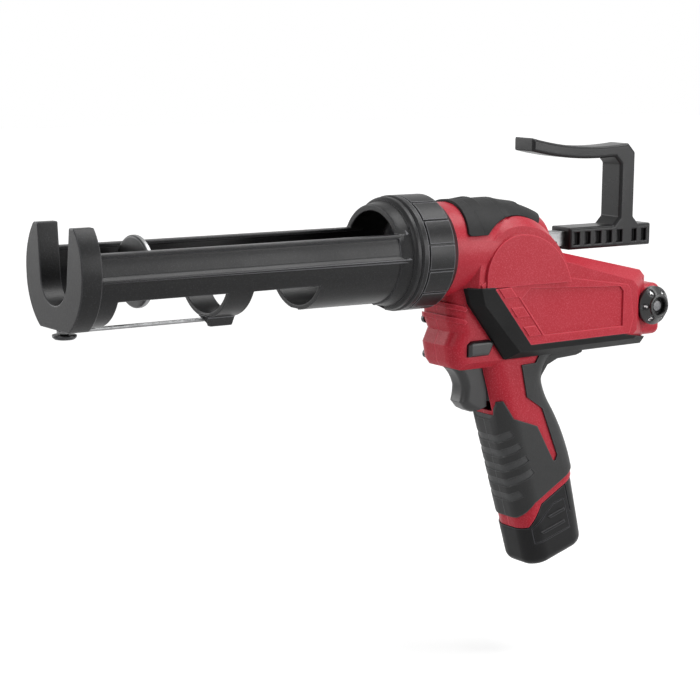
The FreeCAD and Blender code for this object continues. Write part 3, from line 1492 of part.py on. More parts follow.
def make_covers(body):
    """Soft covers moulded over the shells: bumper, top pad and grip."""
    edge = [(diagonal_x(-flank_shoulder - 2, bumper_edge.number), -flank_shoulder - 2)]
    for number in range(2 * int(louvre_bars.number)):
        z = -louvre_top.number - number * louvre_pitch.number
        near, far = (0, -bumper_notch.number) if number % 2 == 0 else (-bumper_notch.number, 0)
        x = diagonal_x(z, bumper_edge.number)
        edge += [(x + near, z), (x + far, z)] if number else [(x + far, z)]
    low = -flank_bottom.number
    sill = -panel_sill.number - frame_bar.number / 4
    bumper_zone = slab([(nose_front, -flank_shoulder - 2)] + edge + [
        (diagonal_x(sill, bumper_edge.number), sill), (frame_rear - 2 * frame_bar, sill - 1),
        (frame_rear, sill - frame_bar / 2), (flank_rear, sill - frame_bar), (flank_rear, low - 20),
        (nose_front, low - 20),
    ], -BEYOND, BEYOND)
    bumper = flank_body(frame_raise).common(bumper_zone).cut(body)
    halves("bumper", bumper)
    pad_zone = slab([
        (pad_front, BEYOND), (pad_front, case_radius), (pad_front - pad_lean, pad_low + 1.5),
        (pad_front - pad_lean + 1.5, pad_low), (pad_rear_low, pad_low),
        (pad_rear_low, case_waist_radius - pad_rear_drop), (pad_rear, case_waist_radius), (pad_rear, BEYOND),
    ], -BEYOND, BEYOND).cut(drum(drum_ring + drum_flare + pad_drum_gap, BEYOND))
    top_pad = barrel_case(pad_thick).common(pad_zone).cut(body)
    for number in range(int(pad_ridges.number)):
        x = pad_ridge_first.number + pad_ridge_pitch.number * number
        length = pad_ridge_length.number
        wedge = Part.Face(closed_wire([
            at(x, 0, case_radius + pad_thick - groove_depth), at(x + length, 0, case_radius + 2 * pad_thick),
            at(x, 0, case_radius + 2 * pad_thick)])).revolve(Vector(0, 0, 0), Vector(1, 0, 0), 360)
        top_pad = top_pad.cut(wedge)
    halves("top_pad", top_pad)
    grip_zone = grip_slab(GRIP_EDGE, -BEYOND, BEYOND)
    margin = cover_thick + gap
    trigger_zone = brick((0, -trigger_half - margin, trigger_bottom - 2 * margin),
                         (switch_front, trigger_half + margin, trigger_top))
    cover = handle_shape(-cover_thick).fuse(web_body(cover_thick)).common(grip_zone)
    cover = cover.cut(trigger_zone).cut(body).cut(flank_body(frame_raise))
    floor = handle_shape(grip_band_depth - cover_thick)
    for number, end in enumerate(BAND_ENDS):
        front = grip_band_first + grip_band_pitch * number
        cover = cover.cut(grip_slab(finger_band(front, end), -BEYOND, BEYOND).cut(floor))
    halves("grip_cover", cover)


def gear_outline(module, teeth, share, reach, root_depth, first_tooth):
    """Corners of a gear with involute flanks, one tooth centred at an angle in degrees."""
    count = int(teeth.number)
    step = 2 * math.pi / count
    pressure = math.radians(20)
    pitch = module.number * count / 2
    base = pitch * math.cos(pressure)
    half_tooth = share.number * step / 2

    def half_angle(radius):
        lean = math.acos(min(base / radius, 1.0))
        return half_tooth + math.tan(pressure) - pressure - math.tan(lean) + lean

    low = pitch - root_depth.number * module.number
    high = pitch + reach.number * module.number
    flank = [(low, half_angle(max(low, base))), (pitch, half_tooth), (high, half_angle(high))]
    corners = []
    for tooth in range(count):
        middle = math.radians(first_tooth) + tooth * step
        for radius, half in flank:
            corners.append((radius * math.cos(middle - half), radius * math.sin(middle - half)))
        for radius, half in reversed(flank):
            corners.append((radius * math.cos(middle + half), radius * math.sin(middle + half)))
    return corners


def spur_gear(module, teeth, x, z, low_y, high_y, first_tooth):
    corners = gear_outline(module, teeth, tooth_share, tooth_reach, tooth_root, first_tooth)
    outline = [(float(x) + u, float(z) + v) for u, v in corners]
    return slab(outline, low_y, high_y)


def bevel_gear(teeth, distance, first_tooth, spot):
    """Bevel gear whose teeth taper toward the point where the two shafts cross."""
    corners = gear_outline(bevel_module, teeth, bevel_share, bevel_reach, bevel_root, first_tooth)
    cone = math.hypot(float(distance), bevel_module.number * teeth.number / 2)
    shrink = 1 - bevel_face.number / cone
    wires = []
    for scale in (1.0, shrink):
        wires.append(closed_wire([spot(u * scale, v * scale, float(distance) * scale) for u, v in corners]))
    return Part.makeLoft(wires, True, True)


def make_gears():
    """Rack pinion and output gear on one shaft, the idler with its bevel gear, and the motor's pinion."""
    spur_outer = spur_inner_y + spur_face
    shaft_left = -spur_outer
    shaft_right = right_plate_y + bearing_width
    face = rack_pinion_half_face
    pinion = spur_gear(rack_module, pinion_teeth, gear_x, pinion_z, -face, face, 90)
    pinion = pinion.fuse(cross_cylinder(gear_x, pinion_z, gear_shaft_radius, shaft_left, shaft_right))
    solid("rack_pinion", pinion.removeSplitter())
    output = spur_gear(spur_module, output_teeth, gear_x, pinion_z, -spur_outer, -spur_inner_y,
                       270 + 180 / output_teeth.number)
    output = output.cut(cross_cylinder(gear_x, pinion_z, gear_shaft_radius, -60, 60))
    solid("output_gear", output)
    idler = spur_gear(spur_module, idler_teeth, gear_x, motor_z, -spur_outer, -spur_inner_y, 90)
    idler = idler.fuse(cross_cylinder(gear_x, motor_z, gear_shaft_radius, shaft_left, shaft_right))
    solid("idler_shaft", idler.removeSplitter())
    wheel = bevel_gear(bevel_gear_teeth, bevel_pinion_radius, 180 / bevel_gear_teeth.number,
                       lambda u, v, w: at(gear_x.number + u, w, motor_z.number + v))
    hub_radius = bevel_gear_radius - 2 * bevel_module
    hub_end = right_plate_y - 2 * gap
    wheel = wheel.fuse(cross_cylinder(gear_x, motor_z, hub_radius, bevel_pinion_radius, hub_end))
    wheel = wheel.cut(cross_cylinder(gear_x, motor_z, gear_shaft_radius, -60, 60))
    solid("bevel_gear", wheel.removeSplitter())
    drive = bevel_gear(bevel_pinion_teeth, bevel_gear_radius, 0,
                       lambda u, v, w: at(gear_x.number + w, u, motor_z.number + v))
    drive_start = gear_x + bevel_gear_radius
    drive = drive.fuse(long_cylinder(motor_z, gear_shaft_radius * 0.9, drive_start, gearbox_front))
    solid("bevel_pinion", drive.removeSplitter())


def ring_across(label, x, z, inner, outer, low_y, width):
    """A turned ring whose axis runs across the tool."""
    body = new_body(label)
    profile = draw(body, "section", "XY_Plane", [box_corners(inner, low_y, outer, low_y + width)])
    turn_about(body, "ring", profile, "Y_Axis")
    place(body, x, 0, z)


def make_bearings():
    bore = gear_shaft_radius + bore_gap
    for shaft, z in (("pinion", pinion_z), ("idler", motor_z)):
        for side, low_y in (("left", -left_plate_y - bearing_width), ("right", right_plate_y)):
            ring_across(f"{shaft}_bearing_{side}", gear_x, z, bore, bearing_radius, low_y, bearing_width)


def make_plates():
    """Die-cast plates across the gear room that hold the bearings."""
    plates = (("gear_plate_left", -left_plate_y - bearing_width), ("gear_plate_right", right_plate_y))
    for label, low_y in plates:
        body = new_body(label)
        rim = gear_room_radius - bore_gap
        lobe = plate_lobe_radius - bore_gap
        drop = motor_z - gear_room_z
        lobe_top = -root(rim * rim - lobe * lobe)
        outline = draw(body, "outline", "XZ_Plane", [[
            (lobe, lobe_top),
            (rim, 0, rim, True),
            (0, rim, rim, True),
            (-rim, 0, rim, True),
            (-lobe, lobe_top, rim, True),
            (-lobe, drop),
            (0, drop - lobe, lobe, True),
            (lobe, drop, lobe, True),
        ]], -low_y, circles=[(0, pinion_z - gear_room_z, bearing_radius), (0, drop, bearing_radius)])
        pad(body, "plate", outline, bearing_width, reverse=True)
        place(body, gear_x, 0, gear_room_z)


def turned_along(label, profile_points):
    """A turned piece on the motor's axis; the profile gives (x, radius) corners."""
    body = new_body(label)
    profile = draw(body, "profile", "XZ_Plane", [profile_points])
    turn_about(body, "turned", profile, "X_Axis")
    place(body, 0, 0, motor_z)
    return body


def make_motor():
    """Gearbox, motor and end cap on one line behind the bevel pinion."""
    step = gearbox_radius / 6
    turned_along("planetary_gearbox", [
        (gearbox_front, 0), (gearbox_front, gearbox_radius - 2 * step),
        (gearbox_front + step, gearbox_radius - 2 * step), (gearbox_front + step, gearbox_radius),
        (gearbox_rear, gearbox_radius), (gearbox_rear, 0),
    ])
    turned_along("motor_can", [
        (gearbox_rear, 0), (gearbox_rear, motor_radius), (motor_rear - step / 2, motor_radius),
        (motor_rear, motor_radius - step / 2), (motor_rear, 0),
    ])
    turned_along("motor_end_cap", [
        (motor_rear, 0), (motor_rear, motor_cap_radius),
        (motor_rear + motor_cap_length - step / 2, motor_cap_radius),
        (motor_rear + motor_cap_length, motor_cap_radius - step / 2), (motor_rear + motor_cap_length, 0),
    ])


def box_part(label, low, high):
    """A plain moulded block between two corners."""
    block = doc.addObject("Part::Box", label)
    for side, first, last in zip(("Length", "Width", "Height"), low, high):
        block.setExpression(side, (dim(last) - dim(first)).formula)
    place(block, *low)
    return register(block, label)


def make_controls():
    """Trigger with its switch, lock slider, speed dial, potentiometer and board."""
    body = new_body("trigger")
    top, low = trigger_top, trigger_bottom
    front = trigger_front
    outline = draw(body, "side_outline", "XZ_Plane", [[
        (trigger_rear, low + trigger_lip_set),
        (trigger_rear, top),
        (front - trigger_brow, top),
        (front + trigger_set, top - trigger_brow_drop, trigger_brow_radius, False),
        (front + trigger_lip_set, low + trigger_lip, trigger_hollow, False),
        (front + trigger_lip, low + trigger_lip / 3),
        (front + trigger_heel, low),
    ]])
    blade = pad(body, "blade", outline, 2 * trigger_half, midplane=True)
    half = trigger_half.number
    finger = (front + trigger_heel).number
    ceiling = (top - gap).number
    fillet(body, "finger_edges", blade, lambda edge: on_side(edge, half) and edge.CenterOfMass.x < finger
           and edge.CenterOfMass.z < ceiling, trigger_round)
    plunger_z = switch_top - switch_height / 2
    seat = draw(body, "plunger_seat", "YZ_Plane", [], trigger_rear, circles=[(0, plunger_z, plunger_radius)])
    pocket(body, "plunger_bore", seat, plunger_reach)
    plunger = doc.addObject("Part::Cylinder", "switch_plunger")
    plunger.setExpression("Radius", plunger_radius.formula)
    plunger.setExpression("Height", (switch_front + 2 * plunger_reach - trigger_rear).formula)
    place(plunger, trigger_rear - plunger_reach, 0, plunger_z, Rotation(Vector(0, 1, 0), 90))
    register(plunger, "switch_plunger")
    block = brick((switch_front, -grip_half_width, switch_top - switch_height),
                  (switch_front + switch_length, grip_half_width, switch_top))
    block = block.common(handle_shape(shell_wall + slide_gap))
    block = block.cut(long_cylinder(plunger_z, plunger_radius + slide_gap, switch_front - 1,
                                    switch_front + plunger_reach + trigger_travel + 1))
    solid("switch_module", block)
    make_lock()
    make_dial()


def lock_outline(grow):
    """Side outline of the lock's wedge-shaped cap."""
    grow = float(grow)
    half_length = lock_half_length.number + grow
    half_height = lock_half_height.number + grow
    x, z = lock_x.number, lock_z.number
    return [
        (x - half_length, z + half_height * 0.6), (x - half_length, z - half_height),
        (x + half_length * 0.6, z - half_height), (x + half_length, z + half_height * 0.6),
        (x + half_length * 0.7, z + half_height), (x - half_length * 0.7, z + half_height),
    ]


def make_lock():
    """Cross slider that blocks the trigger, with a wedge-shaped cap on each side."""
    stem_half = lock_half_height * 0.6
    shape = brick((lock_x - lock_half_length * 0.8, -lock_reach, lock_z - stem_half),
                  (lock_x, lock_reach, lock_z + stem_half))
    inner = flank_recess_half + lock_travel + gap
    outer = lock_reach + lock_travel
    for side in (-1, 1):
        near, far = sorted((side * inner.number, side * outer.number))
        cap = slab(lock_outline(0), near, far)
        face_y = side * outer.number
        cap = cap.makeChamfer(lock_bevel.number, [edge for edge in cap.Edges if all(
            abs(vertex.Point.y - face_y) < 1e-6 for vertex in edge.Vertexes)])
        shape = shape.fuse(cap)
    solid("lock_slider", shape.removeSplitter())


def make_dial():
    """Cone-shaped speed dial on the left flank, with pockets round its slope, and what it turns."""
    body = new_body("speed_dial")
    floor = dial_height * 0.5
    profile = draw(body, "profile", "XY_Plane", [[
        (0, 0),
        (dial_radius, 0),
        (dial_radius, -dial_skirt),
        (dial_end_radius, -dial_height),
        (dial_cup_radius, -dial_height),
        (dial_cup_radius, -floor),
        (dial_hub_radius, -floor),
        (dial_hub_radius, -dial_height * 0.75),
        (0, -dial_height * 0.8),
    ]])
    turn_about(body, "cone", profile, "Y_Axis")
    ring = (dial_radius + dial_end_radius) / 2
    places = []
    for number in range(int(dial_pockets.number)):
        turn = 2 * math.pi * number / dial_pockets.number
        places.append((ring * math.cos(turn), ring * math.sin(turn), dial_pocket_radius))
    pockets = draw(body, "pocket_outlines", "XZ_Plane", [], dial_height, circles=places)
    pocket(body, "number_pockets", pockets, dial_height / 2 + dial_skirt / 4)
    place(body, dial_x, -dial_base_y, dial_z)
    shaft = doc.addObject("Part::Cylinder", "dial_shaft")
    shaft.setExpression("Radius", plunger_radius.formula)
    shaft.setExpression("Height", (dial_base_y - cap_half + shell_wall + 3).formula)
    place(shaft, dial_x, -dial_base_y, dial_z, Rotation(Vector(1, 0, 0), -90))
    register(shaft, "dial_shaft")
    inner_y = cap_half - shell_wall
    pot = new_body("dial_potentiometer")
    block = draw(pot, "outline", "XZ_Plane", [
        box_corners(dial_x - 6.5, dial_z - 6.5, dial_x + 8, dial_z + 6.5),
    ], inner_y)
    pad(pot, "block", block, 8, reverse=True)
    shaft_circle = (dial_x, dial_z, plunger_radius + bore_gap)
    bore = draw(pot, "shaft_outline", "XZ_Plane", [], inner_y, circles=[shaft_circle])
    pocket(pot, "shaft_way", bore, 4)
    board_half = cap_half - shell_wall - slide_gap
    box_part("control_board", (dial_x + 8, -board_half, -cap_bottom + shell_wall + 1),
             (dial_x + 9.6, board_half, -cap_top - shell_wall - 1))


def make_battery():
    """Slide-in battery: a tower inside the handle and a foot that closes it, with a latch on each side."""
    tower_half = grip_half_width - shell_wall - 2 * gap
    tower_end = battery_end - 2 * battery_round
    tower = Part.makeLoft([grip_wire(along, tower_front, tower_back, tower_half, tower_corner)
                           for along in (tower_top, tower_end)], True, True)
    foot = Part.makeLoft([
        grip_wire(grip_swell_at, battery_front, battery_back, battery_half, grip_corner),
        grip_wire(battery_end, battery_front, battery_end_back, battery_half, grip_corner),
    ], True, True)
    end_mid = grip_at(battery_end, 0, 0)
    axis = grip_at(1, 0, 0).sub(grip_at(0, 0, 0))
    foot = rounded(foot, battery_round, lambda edge: abs(edge.CenterOfMass.sub(end_mid).dot(axis)) < 1e-3)
    foot = foot.common(below_foot(gap))
    case = foot.fuse(tower)
    inner = battery_half - latch_thick
    floor = inner - latch_travel - gap
    seam = [(grip_swell_at, seam_across), (grip_swell_at, seam_across + seam_width),
            (seam_end, seam_across + seam_width), (seam_end, seam_across)]
    for side in (-1, 1):
        case = case.cut(grip_slab(latch_outline(gap), *sorted((side * floor.number, side * BEYOND))))
        edge = battery_half - seam_width
        case = case.cut(grip_slab(seam, *sorted((side * edge.number, side * BEYOND))))
    cells = []
    spacing = cell_radius + cell_gap
    start = tower_top + shell_wall
    lift = spacing * math.sin(math.radians(60))
    for across, y in ((-spacing, -lift), (spacing, -lift), (0, lift)):
        middle = (tower_back - tower_front) / 2 + across
        spot = grip_at(start, middle, y)
        cells.append(Part.makeCylinder(cell_radius.number, cell_length.number, spot, axis))
        well_radius = cell_radius + cell_gap / 2
        well_length = cell_length + 2 * cell_gap
        well_spot = grip_at(start - cell_gap, middle, y)
        case = case.cut(Part.makeCylinder(well_radius.number, well_length.number, well_spot, axis))
    solid("battery_case", case)
    solid("battery_cells", Part.makeCompound(cells))
    for name, side in (("left", -1), ("right", 1)):
        plate = foot.common(grip_slab(latch_outline(0), *sorted((side * inner.number, side * BEYOND))))
        crest = battery_half + latch_rib_raise
        for number in range(int(latch_ribs.number)):
            along = latch_rib_first + number * latch_rib_pitch
            run = min(1.0, (along - latch_top).number / latch_slant.number)
            front = latch_slant_across * (1 - run) - latch_front + 2 * latch_rib_width
            rear = latch_back - latch_rib_width * (number + 1)
            plate = plate.fuse(grip_slab([
                (along, front), (along + latch_rib_width, front + latch_rib_width),
                (along + latch_rib_width, rear), (along, rear),
            ], *sorted((side * (inner + latch_rib_raise).number, side * crest.number))))
        solid(f"latch_{name}", plate.removeSplitter())
    block_wires = [grip_wire(along, BEYOND, BEYOND, BEYOND, grip_corner)
                   for along in (tower_top - contact_height, tower_top - gap)]
    block = Part.makeLoft(block_wires, True, True)
    solid("contact_block", block.common(handle_shape(shell_wall + slide_gap)))


def latch_outline(clear):
    """Corners of a latch on the battery's side, its front corner cut along the shells' lower edge."""
    front, back = -latch_front - clear, latch_back + clear
    top, low = latch_top - clear, latch_low + clear
    corner = latch_slant_across - latch_front
    return [(top, back), (top, corner), (top + latch_slant, front), (low, front), (low, back)]


def make_screws():
    """Shell screws, driven from the right side."""
    screws = []
    for x, z in SCREW_PLACES:
        shank = cross_cylinder(x, z, screw_radius, 0.5 - flank_recess_half / 2, flank_recess_half + 0.2)
        head_end = flank_recess_half + screw_head_depth
        head = cross_cylinder(x, z, screw_head_radius, flank_recess_half, head_end)
        screws.append(shank.fuse(head).removeSplitter())
    solid("housing_screws", Part.makeCompound([screw.Solids[0] for screw in screws]))


def make_hook_pins():
    """Cross pins that hold the pull handle on the rack, pressed in from the right."""
    low = hook_pin_cover - hook_pin_half()
    pins = [cross_cylinder(x, z, radius, low, hook_pin_half()) for x, z, radius in hook_pin_circles()]
    solid("hook_pins", Part.makeCompound(pins))


def finish():
    """Check every object and sub-part, then write each sub-part to its own file."""
    doc.recompute()
    for item in doc.Objects:
        if "Invalid" in item.State or "Error" in item.State:
            raise RuntimeError(f"{item.Label} failed: {item.State}")
    os.makedirs("parts", exist_ok=True)
    for item in sub_parts:
        shape = item.Shape
        if shape.isNull() or not shape.isValid() or not shape.Solids:
            raise RuntimeError(f"{item.Label} has no valid solid")
        shape.exportStep(f"parts/{item.Label}.step")
        print(item.Label, len(shape.Solids), round(shape.Volume / 1000, 3), "cm3")


make_carriage()
make_punch()
make_collar()
make_nose()
make_guides()
make_rack()
make_piston()
make_hook()
outer_form = make_shells()
make_covers(outer_form)
make_gears()
make_bearings()
make_plates()
make_motor()
make_controls()
make_battery()
make_screws()
make_hook_pins()
finish()
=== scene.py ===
import json
import math

import bmesh
import bpy
from mathutils import Matrix, Vector
from mathutils.bvhtree import BVHTree


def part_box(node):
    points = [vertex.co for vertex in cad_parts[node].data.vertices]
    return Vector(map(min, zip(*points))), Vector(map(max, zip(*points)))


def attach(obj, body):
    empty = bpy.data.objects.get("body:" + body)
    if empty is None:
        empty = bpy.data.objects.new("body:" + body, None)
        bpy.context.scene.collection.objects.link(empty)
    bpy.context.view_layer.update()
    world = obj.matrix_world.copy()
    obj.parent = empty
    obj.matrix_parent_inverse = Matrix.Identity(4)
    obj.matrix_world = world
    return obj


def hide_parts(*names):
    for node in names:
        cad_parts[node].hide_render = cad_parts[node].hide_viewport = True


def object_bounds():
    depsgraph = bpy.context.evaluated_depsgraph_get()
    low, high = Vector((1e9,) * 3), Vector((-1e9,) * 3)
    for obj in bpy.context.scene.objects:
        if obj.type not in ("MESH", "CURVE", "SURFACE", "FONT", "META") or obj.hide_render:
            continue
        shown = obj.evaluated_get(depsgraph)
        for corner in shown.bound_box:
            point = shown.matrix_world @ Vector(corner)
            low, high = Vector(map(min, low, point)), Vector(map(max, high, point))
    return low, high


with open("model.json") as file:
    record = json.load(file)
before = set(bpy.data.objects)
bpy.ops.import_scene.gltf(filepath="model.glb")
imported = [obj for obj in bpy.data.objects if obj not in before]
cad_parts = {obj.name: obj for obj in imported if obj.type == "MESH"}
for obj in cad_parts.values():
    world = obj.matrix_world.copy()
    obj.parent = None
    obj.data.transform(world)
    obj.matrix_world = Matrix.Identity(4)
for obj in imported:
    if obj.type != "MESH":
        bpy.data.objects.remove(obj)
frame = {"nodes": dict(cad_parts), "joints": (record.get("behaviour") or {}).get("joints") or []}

bl_info = {
    "name": "Cordless caulking tool",
    "version": (1, 0, 0),
    "blender": (4, 5, 0),
    "location": "3D View > Sidebar > Caulk Tool",
    "description": "Dresses the packed caulking tool with its covers, finishes and studio",
    "category": "Object",
}

MM = 0.001
UNIT = (0.0, 1.0)
CAD_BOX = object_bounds()
JOINTS = {joint["name"]: joint for joint in frame["joints"]}
BATTERY_TRAVEL = JOINTS["battery_slide"]["range_m"][1]

# Joining a solid's face meshes, and finding and shading the edges that are rounded
JOIN_DISTANCE = 0.02 * MM
FLAT_ANGLE = math.radians(0.6)
EDGE_ANGLE = math.radians(28.0)
EDGE_SAMPLES = 6
SHADING_WEIGHT = 60

# Places of the colours among a mix node's sockets
MIX_COLOURS = (6, 7)
MIX_RESULT = 2

# How strongly the grain of mouldings, the skin of smooth ones and the lines of metal are pressed in
GRAIN_RELIEF = 0.55
SKIN_RELIEF = 0.5
LINE_RELIEF = 0.35

# Share of the pale tone in the most rubbed patches of a moulding
PATCH_BLOOM = 0.25

# Radii between which the piston's dark face goes over to its rubbed rim
PISTON_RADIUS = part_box("piston_disc")[1][2]
PISTON_RIM = (PISTON_RADIUS - 0.4 * MM, PISTON_RADIUS - 0.1 * MM)

# Saw tooth ridges across the top pad: their crests along the barrel, and how they rise, drop and sink in
RIDGE_COUNT = 3
RIDGE_FIRST = 61.0 * MM
RIDGE_PITCH = 18.0 * MM
RIDGE_RISE = 15.0 * MM
RIDGE_DROP = 0.7 * MM
RIDGE_HEIGHT = 1.1 * MM
RIDGE_SINK = 0.5 * MM

# A ridge's section: places along the barrel from its crest, and the share of its height there
RIDGE_SECTION = (
    (-RIDGE_RISE, 0.0), (-RIDGE_RISE / 2, 0.5), (-RIDGE_DROP, 1.0), (0.0, 0.85), (RIDGE_DROP, 0.0),
)

# Angles from upright: where the ridges start, how far they keep their height and how far round they go
RIDGE_START = 0.02
RIDGE_FULL = math.radians(12.0)
RIDGE_END = math.radians(34.0)
RIDGE_STEPS = 12

# Places along the barrel where the pad's plain surface is felt for, from well outside it
PLAIN_STATIONS = [place * MM for place in (46.0, 51.0, 70.0, 91.0, 110.0)]
OUTSIDE = 100.0 * MM

# The speed dial: its joint, the radii at which its grey hub ends, and the section of the ring round its cup
DIAL_MIDDLE = Vector(JOINTS["dial_turn"]["pos_m"])
DIAL_OUT = Vector(JOINTS["dial_turn"]["axis"])
DIAL_HUB = (3.7 * MM, 3.9 * MM)
HUB_GREY = (0.16, 0.16, 0.17)
RING_SECTION = [(radius * MM, height * MM) for radius, height in (
    (6.1, 7.0), (6.1, 8.0), (6.4, 8.4), (7.6, 8.4), (8.05, 8.0), (8.05, 6.2))]
RING_STEPS = 72

# Pockets of the dial's numbers: the ring that they lie on, the slope that they cut, and their plugs
POCKET_COUNT = 6
POCKET_RING = 10.2 * MM
POCKET_HEIGHT = 5.05 * MM
POCKET_SLOPE = math.atan2(4.9, 5.6)
POCKET_RADIUS = 2.22 * MM
POCKET_FLOOR = 3.15 * MM
PLUG_CORNERS = 28
PLUG_SINK = 0.1 * MM

# Thickening of the numbers' strokes, as a share of their height
NUMBER_WEIGHT = 0.02

# Finishes of the soft covers
COVER_FINISHES = {"bumper": "bumper_black", "top_pad": "pad_black", "grip_cover": "soft_black"}

# Pieces inside the housing and battery, by what they are made of
STEEL_PIECES = (
    "rack_pinion", "output_gear", "idler_shaft", "bevel_gear", "bevel_pinion",
    "pinion_bearing_left", "pinion_bearing_right", "idler_bearing_left", "idler_bearing_right",
    "motor_can", "battery_cells",
)
ALLOY_PIECES = ("gear_plate_left", "gear_plate_right", "planetary_gearbox")
PLASTIC_PIECES = (
    "rack_guide_front", "rack_guide_rear", "motor_end_cap", "switch_module", "switch_plunger",
    "dial_shaft", "dial_potentiometer", "contact_block",
)

# Camera and lamps: each lamp has its place, the side of its square in metres and its power in watts
SENSOR_WIDTH = 36.0
NEAREST_SEEN = 0.05
LAMP_AIM = (0.02, 0.0, -0.04)
LAMPS = {
    "top_lamp": ((0.55, -0.25, 1.15), 0.8, 15.0),
    "right_lamp": ((0.85, -1.15, 0.25), 0.7, 11.0),
    "front_lamp": ((-1.25, -0.35, 0.55), 0.7, 6.0),
    "back_lamp": ((-0.8, 1.1, 0.3), 0.7, 7.0),
}


class CaulkFinish(bpy.types.PropertyGroup):
    """Colours of the moulded and metal finishes."""

    shell_red: bpy.props.FloatVectorProperty(
        name="Shell red", description="Main colour of the moulded housing",
        default=(0.35, 0.0105, 0.022), size=3, subtype="COLOR", min=0, max=1)
    shell_bloom: bpy.props.FloatVectorProperty(
        name="Shell bloom", description="Paler red of the fine texture's crests",
        default=(0.45, 0.042, 0.062), size=3, subtype="COLOR", min=0, max=1)
    cover_black: bpy.props.FloatVectorProperty(
        name="Cover black", description="Soft covers on the grip and the top",
        default=(0.012, 0.0122, 0.0125), size=3, subtype="COLOR", min=0, max=1)
    bumper_black: bpy.props.FloatVectorProperty(
        name="Bumper black", description="Darker soft bumper round the flank",
        default=(0.008, 0.008, 0.0082), size=3, subtype="COLOR", min=0, max=1)
    nylon_black: bpy.props.FloatVectorProperty(
        name="Nylon black", description="Glass filled nylon of the carriage and collar",
        default=(0.008, 0.008, 0.0085), size=3, subtype="COLOR", min=0, max=1)
    hook_black: bpy.props.FloatVectorProperty(
        name="Hook black", description="Smooth nylon of the hook, trigger and dial",
        default=(0.006, 0.006, 0.0065), size=3, subtype="COLOR", min=0, max=1)
    battery_black: bpy.props.FloatVectorProperty(
        name="Battery black", description="Case of the battery",
        default=(0.0055, 0.0055, 0.006), size=3, subtype="COLOR", min=0, max=1)
    steel_grey: bpy.props.FloatVectorProperty(
        name="Steel grey", description="Drawn and ground steel",
        default=(0.25, 0.252, 0.255), size=3, subtype="COLOR", min=0, max=1)
    alloy_grey: bpy.props.FloatVectorProperty(
        name="Alloy grey", description="Die cast pieces inside",
        default=(0.48, 0.485, 0.49), size=3, subtype="COLOR", min=0, max=1)
    number_white: bpy.props.FloatVectorProperty(
        name="Number white", description="Filled numbers on the speed dial",
        default=(0.8, 0.8, 0.78), size=3, subtype="COLOR", min=0, max=1)


class CaulkForm(bpy.types.PropertyGroup):
    """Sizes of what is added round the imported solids."""

    cover_rim: bpy.props.FloatProperty(
        name="Cover rim", description="Rounding of the soft covers' rims",
        default=0.5 * MM, min=0, max=0.01, unit="LENGTH")
    shell_edge: bpy.props.FloatProperty(
        name="Shell edge", description="Rounding of the edges of the housing and battery",
        default=0.8 * MM, min=0, max=0.01, unit="LENGTH")
    nylon_edge: bpy.props.FloatProperty(
        name="Nylon edge", description="Rounding of the edges of the carriage, hook and trigger",
        default=0.6 * MM, min=0, max=0.01, unit="LENGTH")
    fine_edge: bpy.props.FloatProperty(
        name="Fine edge", description="Rounding of the collar, the small controls and the metal pieces",
        default=0.35 * MM, min=0, max=0.01, unit="LENGTH")
    # How far in the shading rounds the edges, and how far in the outward edges are painted paler as a painted
    # highlight
    edge_reach: bpy.props.FloatProperty(
        name="Edge reach", description="How far from an edge it is shaded round and rubbed pale",
        default=0.8 * MM, min=0, max=0.01, unit="LENGTH")
    number_height: bpy.props.FloatProperty(
        name="Number height", description="Letter size of the numbers on the dial",
        default=4.3 * MM, min=0, max=0.02, unit="LENGTH")
    number_sink: bpy.props.FloatProperty(
        name="Number sink", description="How far the numbers' ground lies below the dial's slope",
        default=0.55 * MM, min=0, max=0.005, unit="LENGTH")
    number_relief: bpy.props.FloatProperty(
        name="Number relief", description="How far the numbers stand out of their ground",
        default=0.2 * MM, min=0, max=0.005, unit="LENGTH")


class CaulkStudio(bpy.types.PropertyGroup):
    """Camera, floor and even light."""

    camera_at: bpy.props.FloatVectorProperty(
        name="Camera place", description="Where the camera stands",
        default=(-0.7352, -0.9907, 0.141), size=3, subtype="TRANSLATION", unit="LENGTH")
    camera_turn: bpy.props.FloatProperty(
        name="Camera turn", description="Angle of the view about the upright axis",
        default=math.radians(35.5), subtype="ANGLE")
    camera_tilt: bpy.props.FloatProperty(
        name="Camera tilt", description="Angle of the view below level",
        default=math.radians(9.3), subtype="ANGLE")
    camera_roll: bpy.props.FloatProperty(
        name="Camera roll", description="Lean of the camera about its own axis",
        default=math.radians(0.6), subtype="ANGLE")
    lens: bpy.props.FloatProperty(
        name="Lens", description="Focal length in millimetres on a 36 mm sensor",
        default=102.86, min=10, max=400)
    floor_size: bpy.props.FloatProperty(
        name="Floor size", description="Side of the square floor",
        default=12.0, min=1, max=40, unit="LENGTH")
    floor_pale: bpy.props.FloatProperty(
        name="Floor paleness", description="Share of light that the floor throws back",
        default=0.6, min=0, max=1, subtype="FACTOR")
    floor_white: bpy.props.FloatProperty(
        name="Floor white", description="White that the floor adds for the camera and in reflections",
        default=0.5, min=0, max=1, subtype="FACTOR")
    far_white: bpy.props.FloatProperty(
        name="Far white", description="White that the floor adds far from the tool",
        default=0.9, min=0, max=1, subtype="FACTOR")
    floor_fade: bpy.props.FloatVectorProperty(
        name="Floor fade", description="Distances between which the floor goes to its far white",
        default=(0.5, 2.6), size=2, unit="LENGTH")
    sky_light: bpy.props.FloatProperty(
        name="Room light", description="Strength of the even light from all round",
        default=0.32, min=0, max=2)


def colours():
    """The colours set in the sidebar."""
    return bpy.context.scene.caulk_finish


def sizes():
    """The sizes set in the sidebar."""
    return bpy.context.scene.caulk_form


def studio():
    """The camera and floor set in the sidebar."""
    return bpy.context.scene.caulk_studio


# Shader nodes

